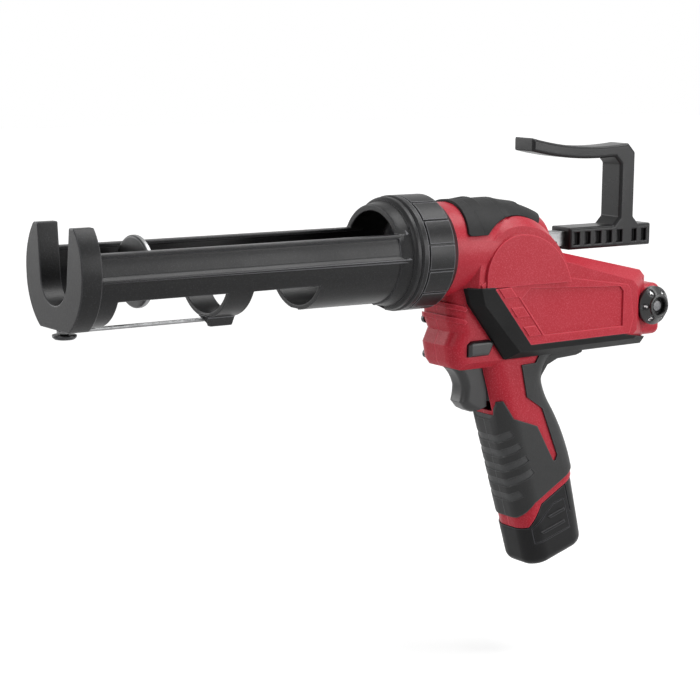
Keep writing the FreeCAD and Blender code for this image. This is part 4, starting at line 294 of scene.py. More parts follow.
def node(tree, kind, settings=(), **values):
    """A shader node with its settings and unlinked inputs."""
    made = tree.nodes.new(kind)
    for key, value in dict(settings).items():
        setattr(made, key, value)
    for key, value in values.items():
        made.inputs[key].default_value = value
    return made


def feed(tree, socket, value):
    """Link a socket to another one, or set it to a number."""
    if isinstance(value, (int, float)):
        socket.default_value = value
    else:
        tree.links.new(value, socket)


def maths(tree, operation, first, second=0.0):
    """A maths node; each operand is a socket or a number."""
    made = node(tree, "ShaderNodeMath", {"operation": operation})
    feed(tree, made.inputs[0], first)
    feed(tree, made.inputs[1], second)
    return made.outputs[0]


def ranged(tree, value, span=UNIT, to=UNIT):
    """A value carried from one range to another, held at the ends."""
    made = node(tree, "ShaderNodeMapRange")
    tree.links.new(value, made.inputs["Value"])
    made.inputs["From Min"].default_value, made.inputs["From Max"].default_value = span
    made.inputs["To Min"].default_value, made.inputs["To Max"].default_value = to
    return made.outputs["Result"]


def mixed(tree, mask, first, second):
    """A colour that goes from one to another by a mask."""
    mix = node(tree, "ShaderNodeMix", {"data_type": "RGBA"})
    tree.links.new(mask, mix.inputs["Factor"])
    for place, colour in zip(MIX_COLOURS, (first, second)):
        if isinstance(colour, bpy.types.NodeSocket):
            tree.links.new(colour, mix.inputs[place])
        else:
            mix.inputs[place].default_value = (*colour, 1.0)
    return mix.outputs[MIX_RESULT]


def noise(tree, place, scale, detail, roughness):
    """Cloud noise at a place."""
    made = node(tree, "ShaderNodeTexNoise", Detail=detail, Roughness=roughness)
    tree.links.new(place, made.inputs["Vector"])
    feed(tree, made.inputs["Scale"], scale)
    return made.outputs["Fac"]


def cells(tree, place, scale):
    """Scattered cells at a place: the node gives each cell's colour and the distance to its middle."""
    made = node(tree, "ShaderNodeTexVoronoi", {"feature": "F1"})
    tree.links.new(place, made.inputs["Vector"])
    tree.links.new(scale, made.inputs["Scale"])
    return made


def object_place(tree):
    """Where a point of the surface lies in the tool's own frame."""
    return tree.nodes.new("ShaderNodeTexCoord").outputs["Object"]


# Shader groups that several finishes share

def new_group(name, inputs, outputs, output_type="NodeSocketFloat"):
    """An empty shader group with named number inputs, and outputs of one type."""
    group = bpy.data.node_groups.new(name, "ShaderNodeTree")
    for label, value in inputs.items():
        socket = group.interface.new_socket(label, in_out="INPUT", socket_type="NodeSocketFloat")
        socket.default_value = value
    for label in outputs:
        group.interface.new_socket(label, in_out="OUTPUT", socket_type=output_type)
    source = group.nodes.new("NodeGroupInput")
    sink = group.nodes.new("NodeGroupOutput")
    return group, source.outputs, sink.inputs


def grain_group():
    """Spark eroded mould grain: fine peaks, with a broad change in how rubbed they are."""
    cloud_share = 0.65
    pit_reach = (0.0, 0.75)
    crest_heights = (0.42, 0.72)
    patch_span = (0.3, 0.7)
    group, given, out = new_group("mould_grain", {"Scale": 1500.0, "Patch Scale": 26.0},
                                  ["Height", "Crest", "Patch"])
    place = object_place(group)
    cloud = noise(group, place, given["Scale"], detail=2.0, roughness=0.62)
    pits = ranged(group, cells(group, place, given["Scale"]).outputs["Distance"], pit_reach, to=(1.0, 0.0))
    height = maths(group, "ADD", maths(group, "MULTIPLY", cloud, cloud_share),
                   maths(group, "MULTIPLY", pits, 1.0 - cloud_share))
    patch = noise(group, place, given["Patch Scale"], detail=4.0, roughness=0.6)
    group.links.new(height, out["Height"])
    group.links.new(ranged(group, height, crest_heights), out["Crest"])
    group.links.new(ranged(group, patch, patch_span), out["Patch"])
    return group


def speck_glint_group():
    """Glass fibre specks scattered in black nylon, painted bright as glints."""
    speck_reach = (0.15, 0.42)
    group, given, out = new_group("glass_speck_glint", {"Scale": 900.0, "Share": 0.12}, ["Speck"])
    fibres = cells(group, object_place(group), given["Scale"])
    chance = node(group, "ShaderNodeSeparateColor")
    group.links.new(fibres.outputs["Color"], chance.inputs["Color"])
    rare = maths(group, "LESS_THAN", chance.outputs["Red"], given["Share"])
    near = ranged(group, fibres.outputs["Distance"], speck_reach, to=(1.0, 0.0))
    group.links.new(maths(group, "MULTIPLY", rare, near), out["Speck"])
    return group


def drawn_group():
    """Drawing lines along the X axis, for rods, plates and wire, with cloudy stains."""
    line_span = (0.3, 0.7)
    stain_span = (0.42, 0.7)
    group, given, out = new_group("drawn_lines", {"Scale": 700.0, "Stretch": 0.03}, ["Line", "Stain"])
    place = object_place(group)
    axes = node(group, "ShaderNodeCombineXYZ", Y=1.0, Z=1.0)
    group.links.new(given["Stretch"], axes.inputs["X"])
    stretched = node(group, "ShaderNodeVectorMath", {"operation": "MULTIPLY"})
    group.links.new(place, stretched.inputs[0])
    group.links.new(axes.outputs[0], stretched.inputs[1])
    line = noise(group, stretched.outputs[0], given["Scale"], detail=3.0, roughness=0.7)
    stain = noise(group, place, scale=90.0, detail=5.0, roughness=0.62)
    group.links.new(ranged(group, line, line_span), out["Line"])
    group.links.new(ranged(group, stain, stain_span), out["Stain"])
    return group


def axis_group():
    """Distance from an axis along X or Y, given by its two other coordinates."""
    group, given, out = new_group("axis_distance", {"Along X": 0.0, "Across": 0.0, "Up": 0.0}, ["Distance"])
    parts = node(group, "ShaderNodeSeparateXYZ")
    group.links.new(object_place(group), parts.inputs[0])
    along_y = maths(group, "SUBTRACT", 1.0, given["Along X"])
    side = maths(group, "ADD", maths(group, "MULTIPLY", parts.outputs["Y"], given["Along X"]),
                 maths(group, "MULTIPLY", parts.outputs["X"], along_y))
    side = maths(group, "SUBTRACT", side, given["Across"])
    lift = maths(group, "SUBTRACT", parts.outputs["Z"], given["Up"])
    total = maths(group, "ADD", maths(group, "MULTIPLY", side, side), maths(group, "MULTIPLY", lift, lift))
    group.links.new(maths(group, "SQRT", total), out["Distance"])
    return group


def edge_highlight_group():
    """Painted highlight on outward edges: how near a point lies to one, so that it can be painted paler."""
    open_share = (0.6, 0.95)
    group, given, out = new_group("painted_edge_highlight", {"Reach": 1.0 * MM}, ["Wear"])
    near = node(group, "ShaderNodeAmbientOcclusion",
                {"inside": True, "only_local": True, "samples": EDGE_SAMPLES})
    group.links.new(given["Reach"], near.inputs["Distance"])
    # Points near an outward edge get the painted highlight
    group.links.new(ranged(group, near.outputs["AO"], open_share, to=(1.0, 0.0)), out["Wear"])
    return group


def relief_group():
    """A normal that follows a height, on edges that are worn round."""
    group, given, out = new_group(
        "worn_relief", {"Height": 0.0, "Strength": SKIN_RELIEF, "Depth": 0.1 * MM, "Edge": 1.0 * MM},
        ["Normal"], "NodeSocketVector")
    worn = node(group, "ShaderNodeBevel", {"samples": EDGE_SAMPLES})
    group.links.new(given["Edge"], worn.inputs["Radius"])
    pressed = node(group, "ShaderNodeBump")
    group.links.new(given["Strength"], pressed.inputs["Strength"])
    group.links.new(given["Depth"], pressed.inputs["Distance"])
    group.links.new(given["Height"], pressed.inputs["Height"])
    group.links.new(worn.outputs["Normal"], pressed.inputs["Normal"])
    group.links.new(pressed.outputs["Normal"], out["Normal"])
    return group


GROUP_MAKERS = {
    "mould_grain": grain_group, "glass_speck_glint": speck_glint_group, "drawn_lines": drawn_group,
    "axis_distance": axis_group, "painted_edge_highlight": edge_highlight_group, "worn_relief": relief_group,
}


def shared(tree, name, **values):
    """The outputs of a shared group placed in a material, its inputs fed by sockets or numbers."""
    made = tree.nodes.new("ShaderNodeGroup")
    made.node_tree = bpy.data.node_groups.get(name) or GROUP_MAKERS[name]()
    for key, value in values.items():
        feed(tree, made.inputs[key.replace("_", " ")], value)
    return made.outputs


# Finishes

def new_material(name):
    """A node material and its surface shader."""
    made = bpy.data.materials.new(name)
    made.use_nodes = True
    tree = made.node_tree
    surface = next(item for item in tree.nodes if item.type == "BSDF_PRINCIPLED")
    return made, tree, surface


def scaled(colour, share):
    """A colour made lighter or darker."""
    return tuple(min(channel * share, 1.0) for channel in colour)


def tones(colour, dark, pale):
    """The dark and pale tones that a grain or stain goes between."""
    return scaled(colour, dark), scaled(colour, pale)


def highlighted(tree, skin, colour):
    """A skin whose outward edges are painted another, paler colour, as a painted highlight."""
    # Outward edges painted paler: a painted highlight
    return mixed(tree, shared(tree, "painted_edge_highlight", Reach=sizes().edge_reach)["Wear"], skin, colour)


def paint(tree, surface, colour, roughness):
    """Feed a surface shader's colour and roughness."""
    tree.links.new(colour, surface.inputs["Base Color"])
    tree.links.new(roughness, surface.inputs["Roughness"])


def press(tree, surface, height, strength, depth):
    """Press a height into a surface shader's normal."""
    relief = shared(tree, "worn_relief", Height=height, Strength=strength, Depth=depth,
                    Edge=sizes().edge_reach)
    tree.links.new(relief["Normal"], surface.inputs["Normal"])


def moulded(name, shades, grain, depth, rough, specular, patch=26.0, edge=2.5):
    """Moulded plastic with a fine grain: colour, roughness and bump follow the same peaks.

    The grain and its patches have a scale each, the roughness goes from worn to fresh patches, and edge says
    how much paler than the pale shade the outward edges are painted, as a painted highlight, with none for 0.
    """
    made, tree, surface = new_material(name)
    dark, pale = shades
    smooth, coarse = rough
    texture = shared(tree, "mould_grain", Scale=grain, Patch_Scale=patch)
    skin = mixed(tree, texture["Crest"], dark, pale)
    skin = mixed(tree, ranged(tree, texture["Patch"], to=(0.0, PATCH_BLOOM)), skin, pale)
    # Outward edges painted paler than the pale shade, as a painted highlight
    if edge > 0:
        skin = highlighted(tree, skin, scaled(pale, edge))
    paint(tree, surface, skin, ranged(tree, texture["Patch"], to=(coarse, smooth)))
    press(tree, surface, texture["Height"], GRAIN_RELIEF, depth)
    surface.inputs["Specular IOR Level"].default_value = specular
    return made


def shell_red():
    """Grained red plastic of the housing."""
    # edge sets how much paler the painted highlight on outward edges is
    return moulded("shell_red", (tuple(colours().shell_red), tuple(colours().shell_bloom)), grain=1000.0,
                   depth=0.2 * MM, rough=(0.32, 0.42), specular=0.17, edge=1.25)


def soft_black():
    """Soft cover of the grip."""
    return moulded("soft_black", tones(colours().cover_black, dark=0.75, pale=1.5), grain=1900.0,
                   depth=0.14 * MM, rough=(0.42, 0.54), specular=0.28)


def pad_black():
    """Duller soft cover of the top, with no painted highlight on its edges because its ridges are sunk into
    it.
    """
    return moulded("pad_black", tones(colours().cover_black, dark=0.75, pale=1.5), grain=1900.0,
                   depth=0.14 * MM, rough=(0.5, 0.62), specular=0.15, edge=0.0)


def bumper_black():
    """Dark soft bumper of the flank."""
    return moulded("bumper_black", tones(colours().bumper_black, dark=0.75, pale=1.5), grain=1900.0,
                   depth=0.1 * MM, rough=(0.5, 0.6), specular=0.1)


def nylon_black():
    """Glass filled nylon: a satin skin with fine grain, small glass fibre specks painted bright as glints,
    and a painted highlight on its outward edges.
    """
    glint_share = 0.4
    black = tuple(colours().nylon_black)
    glint = scaled(black, 9.0)
    edge_highlight_tone = scaled(black, 16.0)
    made, tree, surface = new_material("nylon_black")
    grain = shared(tree, "mould_grain", Scale=1100.0, Patch_Scale=20.0)
    fibre = shared(tree, "glass_speck_glint", Scale=1800.0, Share=0.3)
    skin = mixed(tree, grain["Crest"], *tones(black, dark=0.8, pale=1.6))
    # Glass fibre specks painted bright: painted glints
    skin = mixed(tree, maths(tree, "MULTIPLY", fibre["Speck"], glint_share), skin, glint)
    # Outward edges painted paler: a painted highlight
    skin = highlighted(tree, skin, edge_highlight_tone)
    paint(tree, surface, skin, ranged(tree, grain["Patch"], to=(0.42, 0.32)))
    press(tree, surface, grain["Height"], SKIN_RELIEF, 0.12 * MM)
    surface.inputs["Specular IOR Level"].default_value = 0.2
    return made


def hook_black():
    """Smooth nylon of the hook handle."""
    # edge sets how much paler the painted highlight on outward edges is
    return moulded("hook_black", tones(colours().hook_black, dark=0.8, pale=1.6), grain=1300.0,
                   depth=0.06 * MM, rough=(0.26, 0.36), specular=0.21, patch=18.0, edge=8.0)


def trigger_black():
    """Glossier nylon of the trigger and its lock."""
    return moulded("trigger_black", tones(colours().hook_black, dark=1.0, pale=1.8), grain=1500.0,
                   depth=0.05 * MM, rough=(0.3, 0.4), specular=0.45, patch=18.0)


def dial_black():
    """Smooth black dial with a grey hub at the bottom of its cup."""
    made, tree, surface = new_material("dial_black")
    grain = shared(tree, "mould_grain", Scale=1500.0, Patch_Scale=40.0)
    axis = shared(tree, "axis_distance", Across=DIAL_MIDDLE.x, Up=DIAL_MIDDLE.z)
    skin = mixed(tree, grain["Crest"], *tones(colours().hook_black, dark=0.8, pale=1.5))
    skin = mixed(tree, ranged(tree, axis["Distance"], DIAL_HUB, to=(1.0, 0.0)), skin, HUB_GREY)
    paint(tree, surface, skin, ranged(tree, grain["Patch"], to=(0.34, 0.22)))
    press(tree, surface, grain["Height"], SKIN_RELIEF, 0.05 * MM)
    surface.inputs["Specular IOR Level"].default_value = 0.5
    return made


def case_black():
    """Black plastic of the battery and its latches."""
    # edge sets how much paler the painted highlight on outward edges is
    return moulded("case_black", tones(colours().battery_black, dark=0.8, pale=1.7), grain=1500.0,
                   depth=0.1 * MM, rough=(0.36, 0.48), specular=0.16, patch=22.0, edge=5.0)


def inner_grey():
    """Grey plastic of the guides and electrics inside."""
    return moulded("inner_grey", ((0.055, 0.056, 0.06), (0.075, 0.077, 0.08)), grain=1200.0,
                   depth=0.08 * MM, rough=(0.4, 0.55), specular=0.5)


def board_green():
    """Lacquered circuit board."""
    return moulded("board_green", ((0.012, 0.1, 0.045), (0.02, 0.14, 0.06)), grain=500.0,
                   depth=0.05 * MM, rough=(0.25, 0.35), specular=0.5)


def number_white():
    """Paint of the numbers on the dial."""
    return moulded("number_white", tones(colours().number_white, dark=0.85, pale=1.0), grain=1500.0,
                   depth=0.03 * MM, rough=(0.45, 0.55), specular=0.5)


def metal(name, shades, rough, stretch, depth):
    """Metal with drawing lines and faint stains: roughness goes from the lines' low to high places."""
    made, tree, surface = new_material(name)
    stained, plain = shades
    lines = shared(tree, "drawn_lines", Scale=700.0, Stretch=stretch)
    paint(tree, surface, mixed(tree, lines["Stain"], plain, stained), ranged(tree, lines["Line"], to=rough))
    press(tree, surface, lines["Line"], LINE_RELIEF, depth)
    surface.inputs["Metallic"].default_value = 1.0
    return made


def drawn_steel():
    """Bright steel with lines along the barrel."""
    return metal("drawn_steel", tones(colours().steel_grey, dark=0.55, pale=1.0), rough=(0.34, 0.5),
                 stretch=0.03, depth=0.05 * MM)


def blued_steel():
    """Dark steel of the screws."""
    return metal("blued_steel", ((0.035, 0.035, 0.036), (0.05, 0.051, 0.054)), rough=(0.26, 0.38),
                 stretch=1.0, depth=0.04 * MM)


def cast_alloy():
    """Die cast alloy of the gear plates and the nose sleeve."""
    return metal("cast_alloy", tones(colours().alloy_grey, dark=0.8, pale=1.0), rough=(0.42, 0.55),
                 stretch=1.0, depth=0.12 * MM)


def piston_steel():
    """Dark phosphated disc whose rim is worn bright by cartridges."""
    grey = tuple(colours().steel_grey)
    made, tree, surface = new_material("piston_steel")
    lines = shared(tree, "drawn_lines", Scale=900.0, Stretch=1.0)
    axis = shared(tree, "axis_distance", Along_X=1.0)
    stained, plain = tones(grey, dark=0.14, pale=0.22)
    face = mixed(tree, lines["Stain"], plain, stained)
    face = mixed(tree, ranged(tree, axis["Distance"], PISTON_RIM), face, grey)
    paint(tree, surface, face, ranged(tree, lines["Line"], to=(0.3, 0.45)))
    press(tree, surface, lines["Line"], LINE_RELIEF, 0.05 * MM)
    surface.inputs["Metallic"].default_value = 1.0
    return made


FINISH_MAKERS = {maker.__name__: maker for maker in (
    shell_red, soft_black, pad_black, bumper_black, nylon_black, hook_black, trigger_black, dial_black,
    case_black, inner_grey, board_green, number_white, drawn_steel, blued_steel, cast_alloy, piston_steel)}


def material(name):
    """A finish by its name, made on first use."""
    return bpy.data.materials.get(name) or FINISH_MAKERS[name]()


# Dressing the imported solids

def soften(item, width, segments=2, held=True):
    """Join the solid's face meshes and round its edges, held back by its shortest edge or to full width."""
    weld = item.modifiers.new("join_faces", "WELD")
    weld.merge_threshold = JOIN_DISTANCE
    flat = item.modifiers.new("flat_faces", "DECIMATE")
    flat.decimate_type = "DISSOLVE"
    flat.angle_limit = FLAT_ANGLE
    edge = item.modifiers.new("round_edges", "BEVEL")
    edge.width = width
    edge.segments = segments
    edge.limit_method = "ANGLE"
    edge.angle_limit = EDGE_ANGLE
    edge.use_clamp_overlap = held
    edge.harden_normals = False
    normals = item.modifiers.new("even_shading", "WEIGHTED_NORMAL")
    normals.keep_sharp = False
    normals.weight = SHADING_WEIGHT


def dress(names, finish_name, edge=0.0, segments=2, held=True):
    """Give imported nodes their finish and, where they show, rounded edges."""
    for name in names:
        item = frame["nodes"][name]
        item.data.materials.clear()
        item.data.materials.append(material(finish_name))
        if edge > 0:
            soften(item, edge, segments, held)


def new_piece(name, mesh_form, finish_name, body):
    """A piece of the looks made from a mesh in code, riding on a body."""
    mesh = bpy.data.meshes.new(name)
    mesh_form.to_mesh(mesh)
    mesh_form.free()
    mesh.materials.append(material(finish_name))
    item = bpy.data.objects.new(name, mesh)
    bpy.context.scene.collection.objects.link(item)
    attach(item, body)
    return item


def smooth(mesh_form):
    """Shade all faces of a mesh as one skin."""
    for face in mesh_form.faces:
        face.smooth = True


def skin_rings(mesh_form, rings, closed=False):
    """Faces from each ring of points to the next, and from the last to the first where the rings close."""
    faces = []
    for here, after in zip(rings, rings[1:] + rings[:1] if closed else rings[1:]):
        for corner in range(len(here)):
            beside = (corner + 1) % len(here)
            faces.append(mesh_form.faces.new((here[corner], here[beside], after[beside], after[corner])))
    return faces


def cap_rings(mesh_form, rings):
    """Faces that close the first and the last ring."""
    return [mesh_form.faces.new(rings[0]), mesh_form.faces.new(rings[-1][::-1])]


# Soft covers

def pad_radius(tree, turn):
    """The direction at an angle from upright, and the pad's plain radius in it, along the barrel."""
    outward = Vector((0.0, math.sin(turn), math.cos(turn)))
    found = []
    for x in PLAIN_STATIONS:
        hit = tree.ray_cast(Vector((x, 0.0, 0.0)) + outward * OUTSIDE, -outward)[0]
        found.append((x, hit.dot(outward)))

    def at(x):
        pairs = list(zip(found, found[1:]))
        (low, first), (high, last) = next((pair for pair in pairs if x <= pair[1][0]), pairs[-1])
        return first + (last - first) * (x - low) / (high - low)
    return outward, at


def pad_ridges(cover, side):
    """Add the ridges to one half of the top pad, from the middle plane round to its side."""
    tree = BVHTree.FromBMesh(cover)
    turns = [RIDGE_END * step / RIDGE_STEPS for step in range(RIDGE_STEPS + 1)]
    rounds = [pad_radius(tree, side * (RIDGE_START + turn)) for turn in turns]
    for number in range(RIDGE_COUNT):
        crest = RIDGE_FIRST + RIDGE_PITCH * number
        section = [(crest + along, rise) for along, rise in RIDGE_SECTION]
        rings = []
        for turn, (outward, radius_at) in zip(turns, rounds):
            share = min((RIDGE_END - turn) / (RIDGE_END - RIDGE_FULL), 1.0)
            places = [(x, radius_at(x) + (RIDGE_HEIGHT + RIDGE_SINK) * rise * share - RIDGE_SINK)
                      for x, rise in section]
            places += [(x, radius_at(x) - 2 * RIDGE_SINK) for x, rise in reversed(section)]
            rings.append([cover.verts.new(Vector((x, 0.0, 0.0)) + outward * radius) for x, radius in places])
        faces = cap_rings(cover, rings) + skin_rings(cover, rings)
        bmesh.ops.recalc_face_normals(cover, faces=faces)


def soft_cover(node_name, name, finish_name):
    """A soft cover in its solid's form, with a joined skin and rims that roll over into the shell."""
    cover = bmesh.new()
    cover.from_mesh(frame["nodes"][node_name].data)
    bmesh.ops.remove_doubles(cover, verts=cover.verts, dist=JOIN_DISTANCE)
    bmesh.ops.dissolve_limit(cover, angle_limit=FLAT_ANGLE, verts=cover.verts, edges=cover.edges)
    if node_name.startswith("top_pad"):
        pad_ridges(cover, -1 if node_name.endswith("left") else 1)
    smooth(cover)
    item = new_piece(name, cover, finish_name, "housing")
    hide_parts(node_name)
    soften(item, sizes().cover_rim, segments=3)


# The speed dial's ring and numbers

def dial_radial(share):
    """Direction away from the dial's axis, by a share of a whole turn."""
    turn = 2 * math.pi * share
    return Vector((math.cos(turn), 0.0, math.sin(turn)))


def number_place(number):
    """Matrix of a number's ground on the dial: its right, up and outward directions and its middle."""
    radial = dial_radial(number / POCKET_COUNT)
    outward = radial * math.sin(POCKET_SLOPE) + DIAL_OUT * math.cos(POCKET_SLOPE)
    up = radial * math.cos(POCKET_SLOPE) - DIAL_OUT * math.sin(POCKET_SLOPE)
    middle = DIAL_MIDDLE + radial * POCKET_RING + DIAL_OUT * POCKET_HEIGHT - outward * sizes().number_sink
    axes = Matrix((up.cross(outward), up, outward)).transposed().to_4x4()
    return Matrix.Translation(middle) @ axes


def dial_ring():
    """Raised ring round the dial's cup, turned from a section of radius and height."""
    ring = bmesh.new()
    turns = []
    for step in range(RING_STEPS):
        radial = dial_radial(step / RING_STEPS)
        turns.append([ring.verts.new(DIAL_MIDDLE + radial * radius + DIAL_OUT * height)
                      for radius, height in RING_SECTION])
    skin_rings(ring, turns, closed=True)
    bmesh.ops.recalc_face_normals(ring, faces=ring.faces)
    smooth(ring)
    return ring


def number_grounds():
    """Slanted plugs that fill the dial's pockets up to the numbers' ground."""
    plugs = bmesh.new()
    for number in range(POCKET_COUNT):
        place = number_place(number)
        outward = place.col[2].to_3d()
        middle = DIAL_MIDDLE + dial_radial(number / POCKET_COUNT) * POCKET_RING
        low, high = [], []
        for corner in range(PLUG_CORNERS):
            foot = middle + dial_radial(corner / PLUG_CORNERS) * POCKET_RADIUS
            rise = (place.translation - foot).dot(outward) / DIAL_OUT.dot(outward)
            low.append(plugs.verts.new(foot + DIAL_OUT * (POCKET_FLOOR - PLUG_SINK)))
            high.append(plugs.verts.new(foot + DIAL_OUT * max(rise, POCKET_FLOOR)))
        cap_rings(plugs, [low, high])
        skin_rings(plugs, [low, high])
    bmesh.ops.recalc_face_normals(plugs, faces=plugs.faces)
    return plugs


def number_letters():
    """The numbers 1 to 6, raised a little from their grounds, with their tops to the dial's rim."""
    letters = bmesh.new()
    for number in range(POCKET_COUNT):
        curve = bpy.data.curves.new("dial_letter", "FONT")
        curve.body = str(POCKET_COUNT - number)
        curve.size = sizes().number_height
        curve.extrude = sizes().number_relief
        curve.offset = NUMBER_WEIGHT * sizes().number_height
        curve.align_x = "CENTER"
        curve.align_y = "CENTER"
        text = bpy.data.objects.new("dial_letter", curve)
        mesh = bpy.data.meshes.new_from_object(text)
        mesh.transform(number_place(number))
        letters.from_mesh(mesh)
        bpy.data.objects.remove(text)
        bpy.data.curves.remove(curve)
        bpy.data.meshes.remove(mesh)
    bmesh.ops.remove_doubles(letters, verts=letters.verts, dist=0.1 * JOIN_DISTANCE)
    return letters


class CAULK_OT_carriage(bpy.types.Operator):
    """Dress the cartridge carriage, its seal punch and the turning collar"""

    bl_idname = "caulk.carriage"
    bl_label = "Dress carriage"

    def execute(self, context):
        dress(["carriage_frame"], "nylon_black", sizes().nylon_edge, held=False)
        dress(["lock_collar"], "nylon_black", sizes().fine_edge)
        dress(["seal_punch_wire"], "drawn_steel")
        dress(["punch_pivot_screw"], "blued_steel", sizes().fine_edge)
        dress(["nose_sleeve"], "cast_alloy")
        return {"FINISHED"}


class CAULK_OT_rack(bpy.types.Operator):
    """Dress the toothed rack with its piston disc and hook handle"""

    bl_idname = "caulk.rack"
    bl_label = "Dress rack"

    def execute(self, context):
        dress(["drive_rack"], "drawn_steel", sizes().fine_edge)
        dress(["piston_disc"], "piston_steel", sizes().fine_edge)
        dress(["piston_screw", "hook_pins"], "drawn_steel")
        dress(["hook_handle"], "hook_black", sizes().nylon_edge, held=False)
        return {"FINISHED"}


class CAULK_OT_housing(bpy.types.Operator):
    """Dress the two housing halves and their screws"""

    bl_idname = "caulk.housing"
    bl_label = "Dress housing"

    def execute(self, context):
        dress(["housing_left", "housing_right"], "shell_red", sizes().shell_edge)
        dress(["housing_screws"], "blued_steel")
        return {"FINISHED"}


class CAULK_OT_covers(bpy.types.Operator):
    """Make the soft covers of the flank, the top and the grip"""

    bl_idname = "caulk.covers"
    bl_label = "Make soft covers"

    def execute(self, context):
        for cover, finish_name in COVER_FINISHES.items():
            for side in ("left", "right"):
                soft_cover(f"{cover}_{side}", f"soft_{cover}_{side}", finish_name)
        return {"FINISHED"}


class CAULK_OT_drive(bpy.types.Operator):
    """Dress the gear train, motor and electrics inside the housing"""

    bl_idname = "caulk.drive"
    bl_label = "Dress drive"

    def execute(self, context):
        dress(STEEL_PIECES, "drawn_steel")
        dress(ALLOY_PIECES, "cast_alloy")
        dress(PLASTIC_PIECES, "inner_grey")
        dress(["control_board"], "board_green")
        return {"FINISHED"}


class CAULK_OT_controls(bpy.types.Operator):
    """Dress the trigger and its lock"""

    bl_idname = "caulk.controls"
    bl_label = "Dress controls"

    def execute(self, context):
        dress(["trigger", "lock_slider"], "trigger_black", sizes().nylon_edge, segments=3)
        return {"FINISHED"}


class CAULK_OT_dial(bpy.types.Operator):
    """Dress the speed dial and set its numbers into their pockets"""

    bl_idname = "caulk.dial"
    bl_label = "Dress dial"

    def execute(self, context):
        dress(["speed_dial"], "dial_black", sizes().fine_edge)
        ring = new_piece("dial_ring", dial_ring(), "dial_black", "dial")
        soften(ring, sizes().fine_edge / 2)
        new_piece("dial_grounds", number_grounds(), "hook_black", "dial")
        new_piece("dial_numbers", number_letters(), "number_white", "dial")
        return {"FINISHED"}


class CAULK_OT_battery(bpy.types.Operator):
    """Dress the battery and its two latches"""

    bl_idname = "caulk.battery"
    bl_label = "Dress battery"

    def execute(self, context):
        dress(["battery_case"], "case_black", sizes().shell_edge)
        dress(["latch_left", "latch_right"], "case_black", sizes().fine_edge)
        return {"FINISHED"}


def lamp(name, place, size, power):
    """A soft square lamp that faces the tool and isn't seen itself."""
    light = bpy.data.lights.new(name, "AREA")
    light.size = size
    light.energy = power
    item = bpy.data.objects.new(name, light)
    item.location = place
    item.visible_camera = False
    item.rotation_euler = (Vector(LAMP_AIM) - Vector(place)).to_track_quat("-Z", "Y").to_euler()
    bpy.context.scene.collection.objects.link(item)


def seen_plainly(tree):
    """Mask of the rays that show a background: from the camera, and in gloss and glass."""
    path = tree.nodes.new("ShaderNodeLightPath")
    seen = maths(tree, "MAXIMUM", path.outputs["Is Camera Ray"], path.outputs["Is Glossy Ray"])
    return maths(tree, "MAXIMUM", seen, path.outputs["Is Transmission Ray"])


def floor_finish(settings):
    """Pale matt floor that goes to white far from the tool."""
    made, tree, surface = new_material("floor_white")
    dark, pale = tones([settings.floor_pale] * 3, dark=0.99, pale=1.0)
    cloud = noise(tree, object_place(tree), scale=3.0, detail=2.0, roughness=0.5)
    tree.links.new(mixed(tree, cloud, dark, pale), surface.inputs["Base Color"])
    away = node(tree, "ShaderNodeVectorMath", {"operation": "LENGTH"})
    tree.links.new(object_place(tree), away.inputs[0])
    white = ranged(tree, away.outputs["Value"], settings.floor_fade,
                   to=(settings.floor_white, settings.far_white))
    tree.links.new(maths(tree, "MULTIPLY", seen_plainly(tree), white), surface.inputs["Emission Color"])
    surface.inputs["Emission Strength"].default_value = 1.0
    surface.inputs["Roughness"].default_value = 0.9
    surface.inputs["Specular IOR Level"].default_value = 0.1
    return made


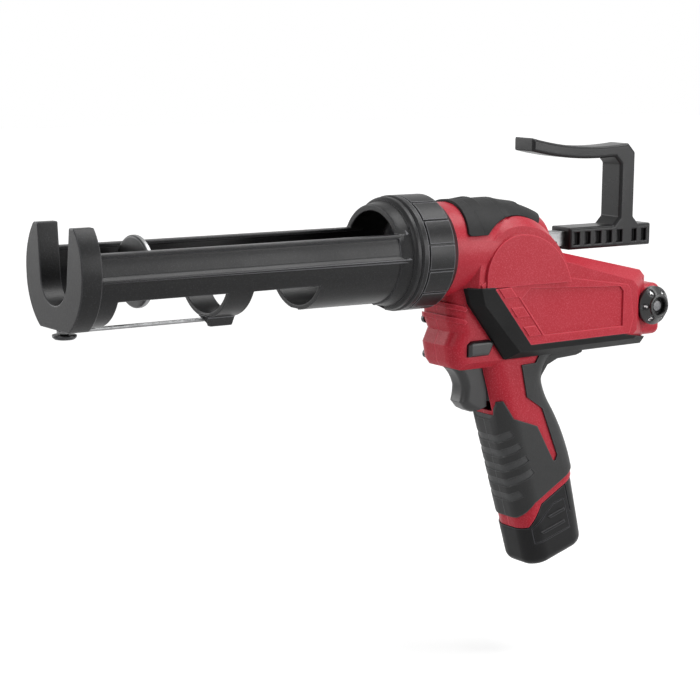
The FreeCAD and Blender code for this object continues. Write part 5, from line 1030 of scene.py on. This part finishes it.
class CAULK_OT_studio(bpy.types.Operator):
    """Set up the camera, the pale floor and the soft lamps"""

    bl_idname = "caulk.studio"
    bl_label = "Set up studio"

    def execute(self, context):
        scene = context.scene
        scene.view_settings.view_transform = "Standard"
        self.add_camera(scene, studio())
        self.add_floor(scene, studio())
        self.add_light(scene, studio())
        return {"FINISHED"}

    def add_camera(self, scene, settings):
        """The camera at its place, turned, tilted and rolled."""
        turn, tilt, roll = settings.camera_turn, settings.camera_tilt, settings.camera_roll
        back = Vector((-math.sin(turn) * math.cos(tilt), -math.cos(turn) * math.cos(tilt), math.sin(tilt)))
        right = Vector((math.cos(turn), -math.sin(turn), 0.0))
        up = back.cross(right)
        axis_x = right * math.cos(roll) + up * math.sin(roll)
        axis_y = up * math.cos(roll) - right * math.sin(roll)
        data = bpy.data.cameras.new("studio_camera")
        data.lens = settings.lens
        data.sensor_width = SENSOR_WIDTH
        data.clip_start = NEAREST_SEEN
        item = bpy.data.objects.new("studio_camera", data)
        turned = Matrix((axis_x, axis_y, back)).transposed().to_4x4()
        item.matrix_world = Matrix.Translation(Vector(settings.camera_at)) @ turned
        scene.collection.objects.link(item)
        scene.camera = item

    def add_floor(self, scene, settings):
        """A square floor, as far below the tool as the battery slides out."""
        half = settings.floor_size / 2
        low = CAD_BOX[0][2] - BATTERY_TRAVEL
        mesh = bpy.data.meshes.new("studio_floor")
        mesh.from_pydata([(-half, -half, low), (half, -half, low), (half, half, low), (-half, half, low)], [],
                         [(0, 1, 2, 3)])
        mesh.materials.append(floor_finish(settings))
        item = bpy.data.objects.new("studio_floor", mesh)
        scene.collection.objects.link(item)

    def add_light(self, scene, settings):
        """Even light from all round, white where it is seen, and the lamps."""
        world = bpy.data.worlds.new("studio_world")
        scene.world = world
        world.use_nodes = True
        tree = world.node_tree
        background = next(item for item in tree.nodes if item.type == "BACKGROUND")
        background.inputs["Color"].default_value = (1.0, 1.0, 1.0, 1.0)
        strength = ranged(tree, seen_plainly(tree), to=(settings.sky_light, 1.0))
        tree.links.new(strength, background.inputs["Strength"])
        for name, (place, size, power) in LAMPS.items():
            lamp(name, place, size, power)


class CAULK_PT_panel(bpy.types.Panel):
    """Lists the tool's operators and settings"""

    bl_idname = "CAULK_PT_panel"
    bl_label = "Caulk Tool"
    bl_space_type = "VIEW_3D"
    bl_region_type = "UI"
    bl_category = "Caulk Tool"

    def draw(self, context):
        for operator in OPERATORS:
            self.layout.operator(operator.bl_idname)
        for group in (colours(), sizes(), studio()):
            for name in group.__annotations__:
                self.layout.prop(group, name)


OPERATORS = (
    CAULK_OT_carriage,
    CAULK_OT_rack,
    CAULK_OT_housing,
    CAULK_OT_covers,
    CAULK_OT_drive,
    CAULK_OT_controls,
    CAULK_OT_dial,
    CAULK_OT_battery,
    CAULK_OT_studio,
)
CLASSES = (CaulkFinish, CaulkForm, CaulkStudio, *OPERATORS, CAULK_PT_panel)


def register():
    """Register the classes and hang the settings on the scene."""
    for item in CLASSES:
        bpy.utils.register_class(item)
    bpy.types.Scene.caulk_finish = bpy.props.PointerProperty(type=CaulkFinish)
    bpy.types.Scene.caulk_form = bpy.props.PointerProperty(type=CaulkForm)
    bpy.types.Scene.caulk_studio = bpy.props.PointerProperty(type=CaulkStudio)


def unregister():
    """Take the settings and the classes away again."""
    del bpy.types.Scene.caulk_studio
    del bpy.types.Scene.caulk_form
    del bpy.types.Scene.caulk_finish
    for item in reversed(CLASSES):
        bpy.utils.unregister_class(item)


def main():
    """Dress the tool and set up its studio."""
    register()
    for operator in OPERATORS:
        family, name = operator.bl_idname.split(".")
        getattr(getattr(bpy.ops, family), name)()


if __name__ == "__main__":
    main()
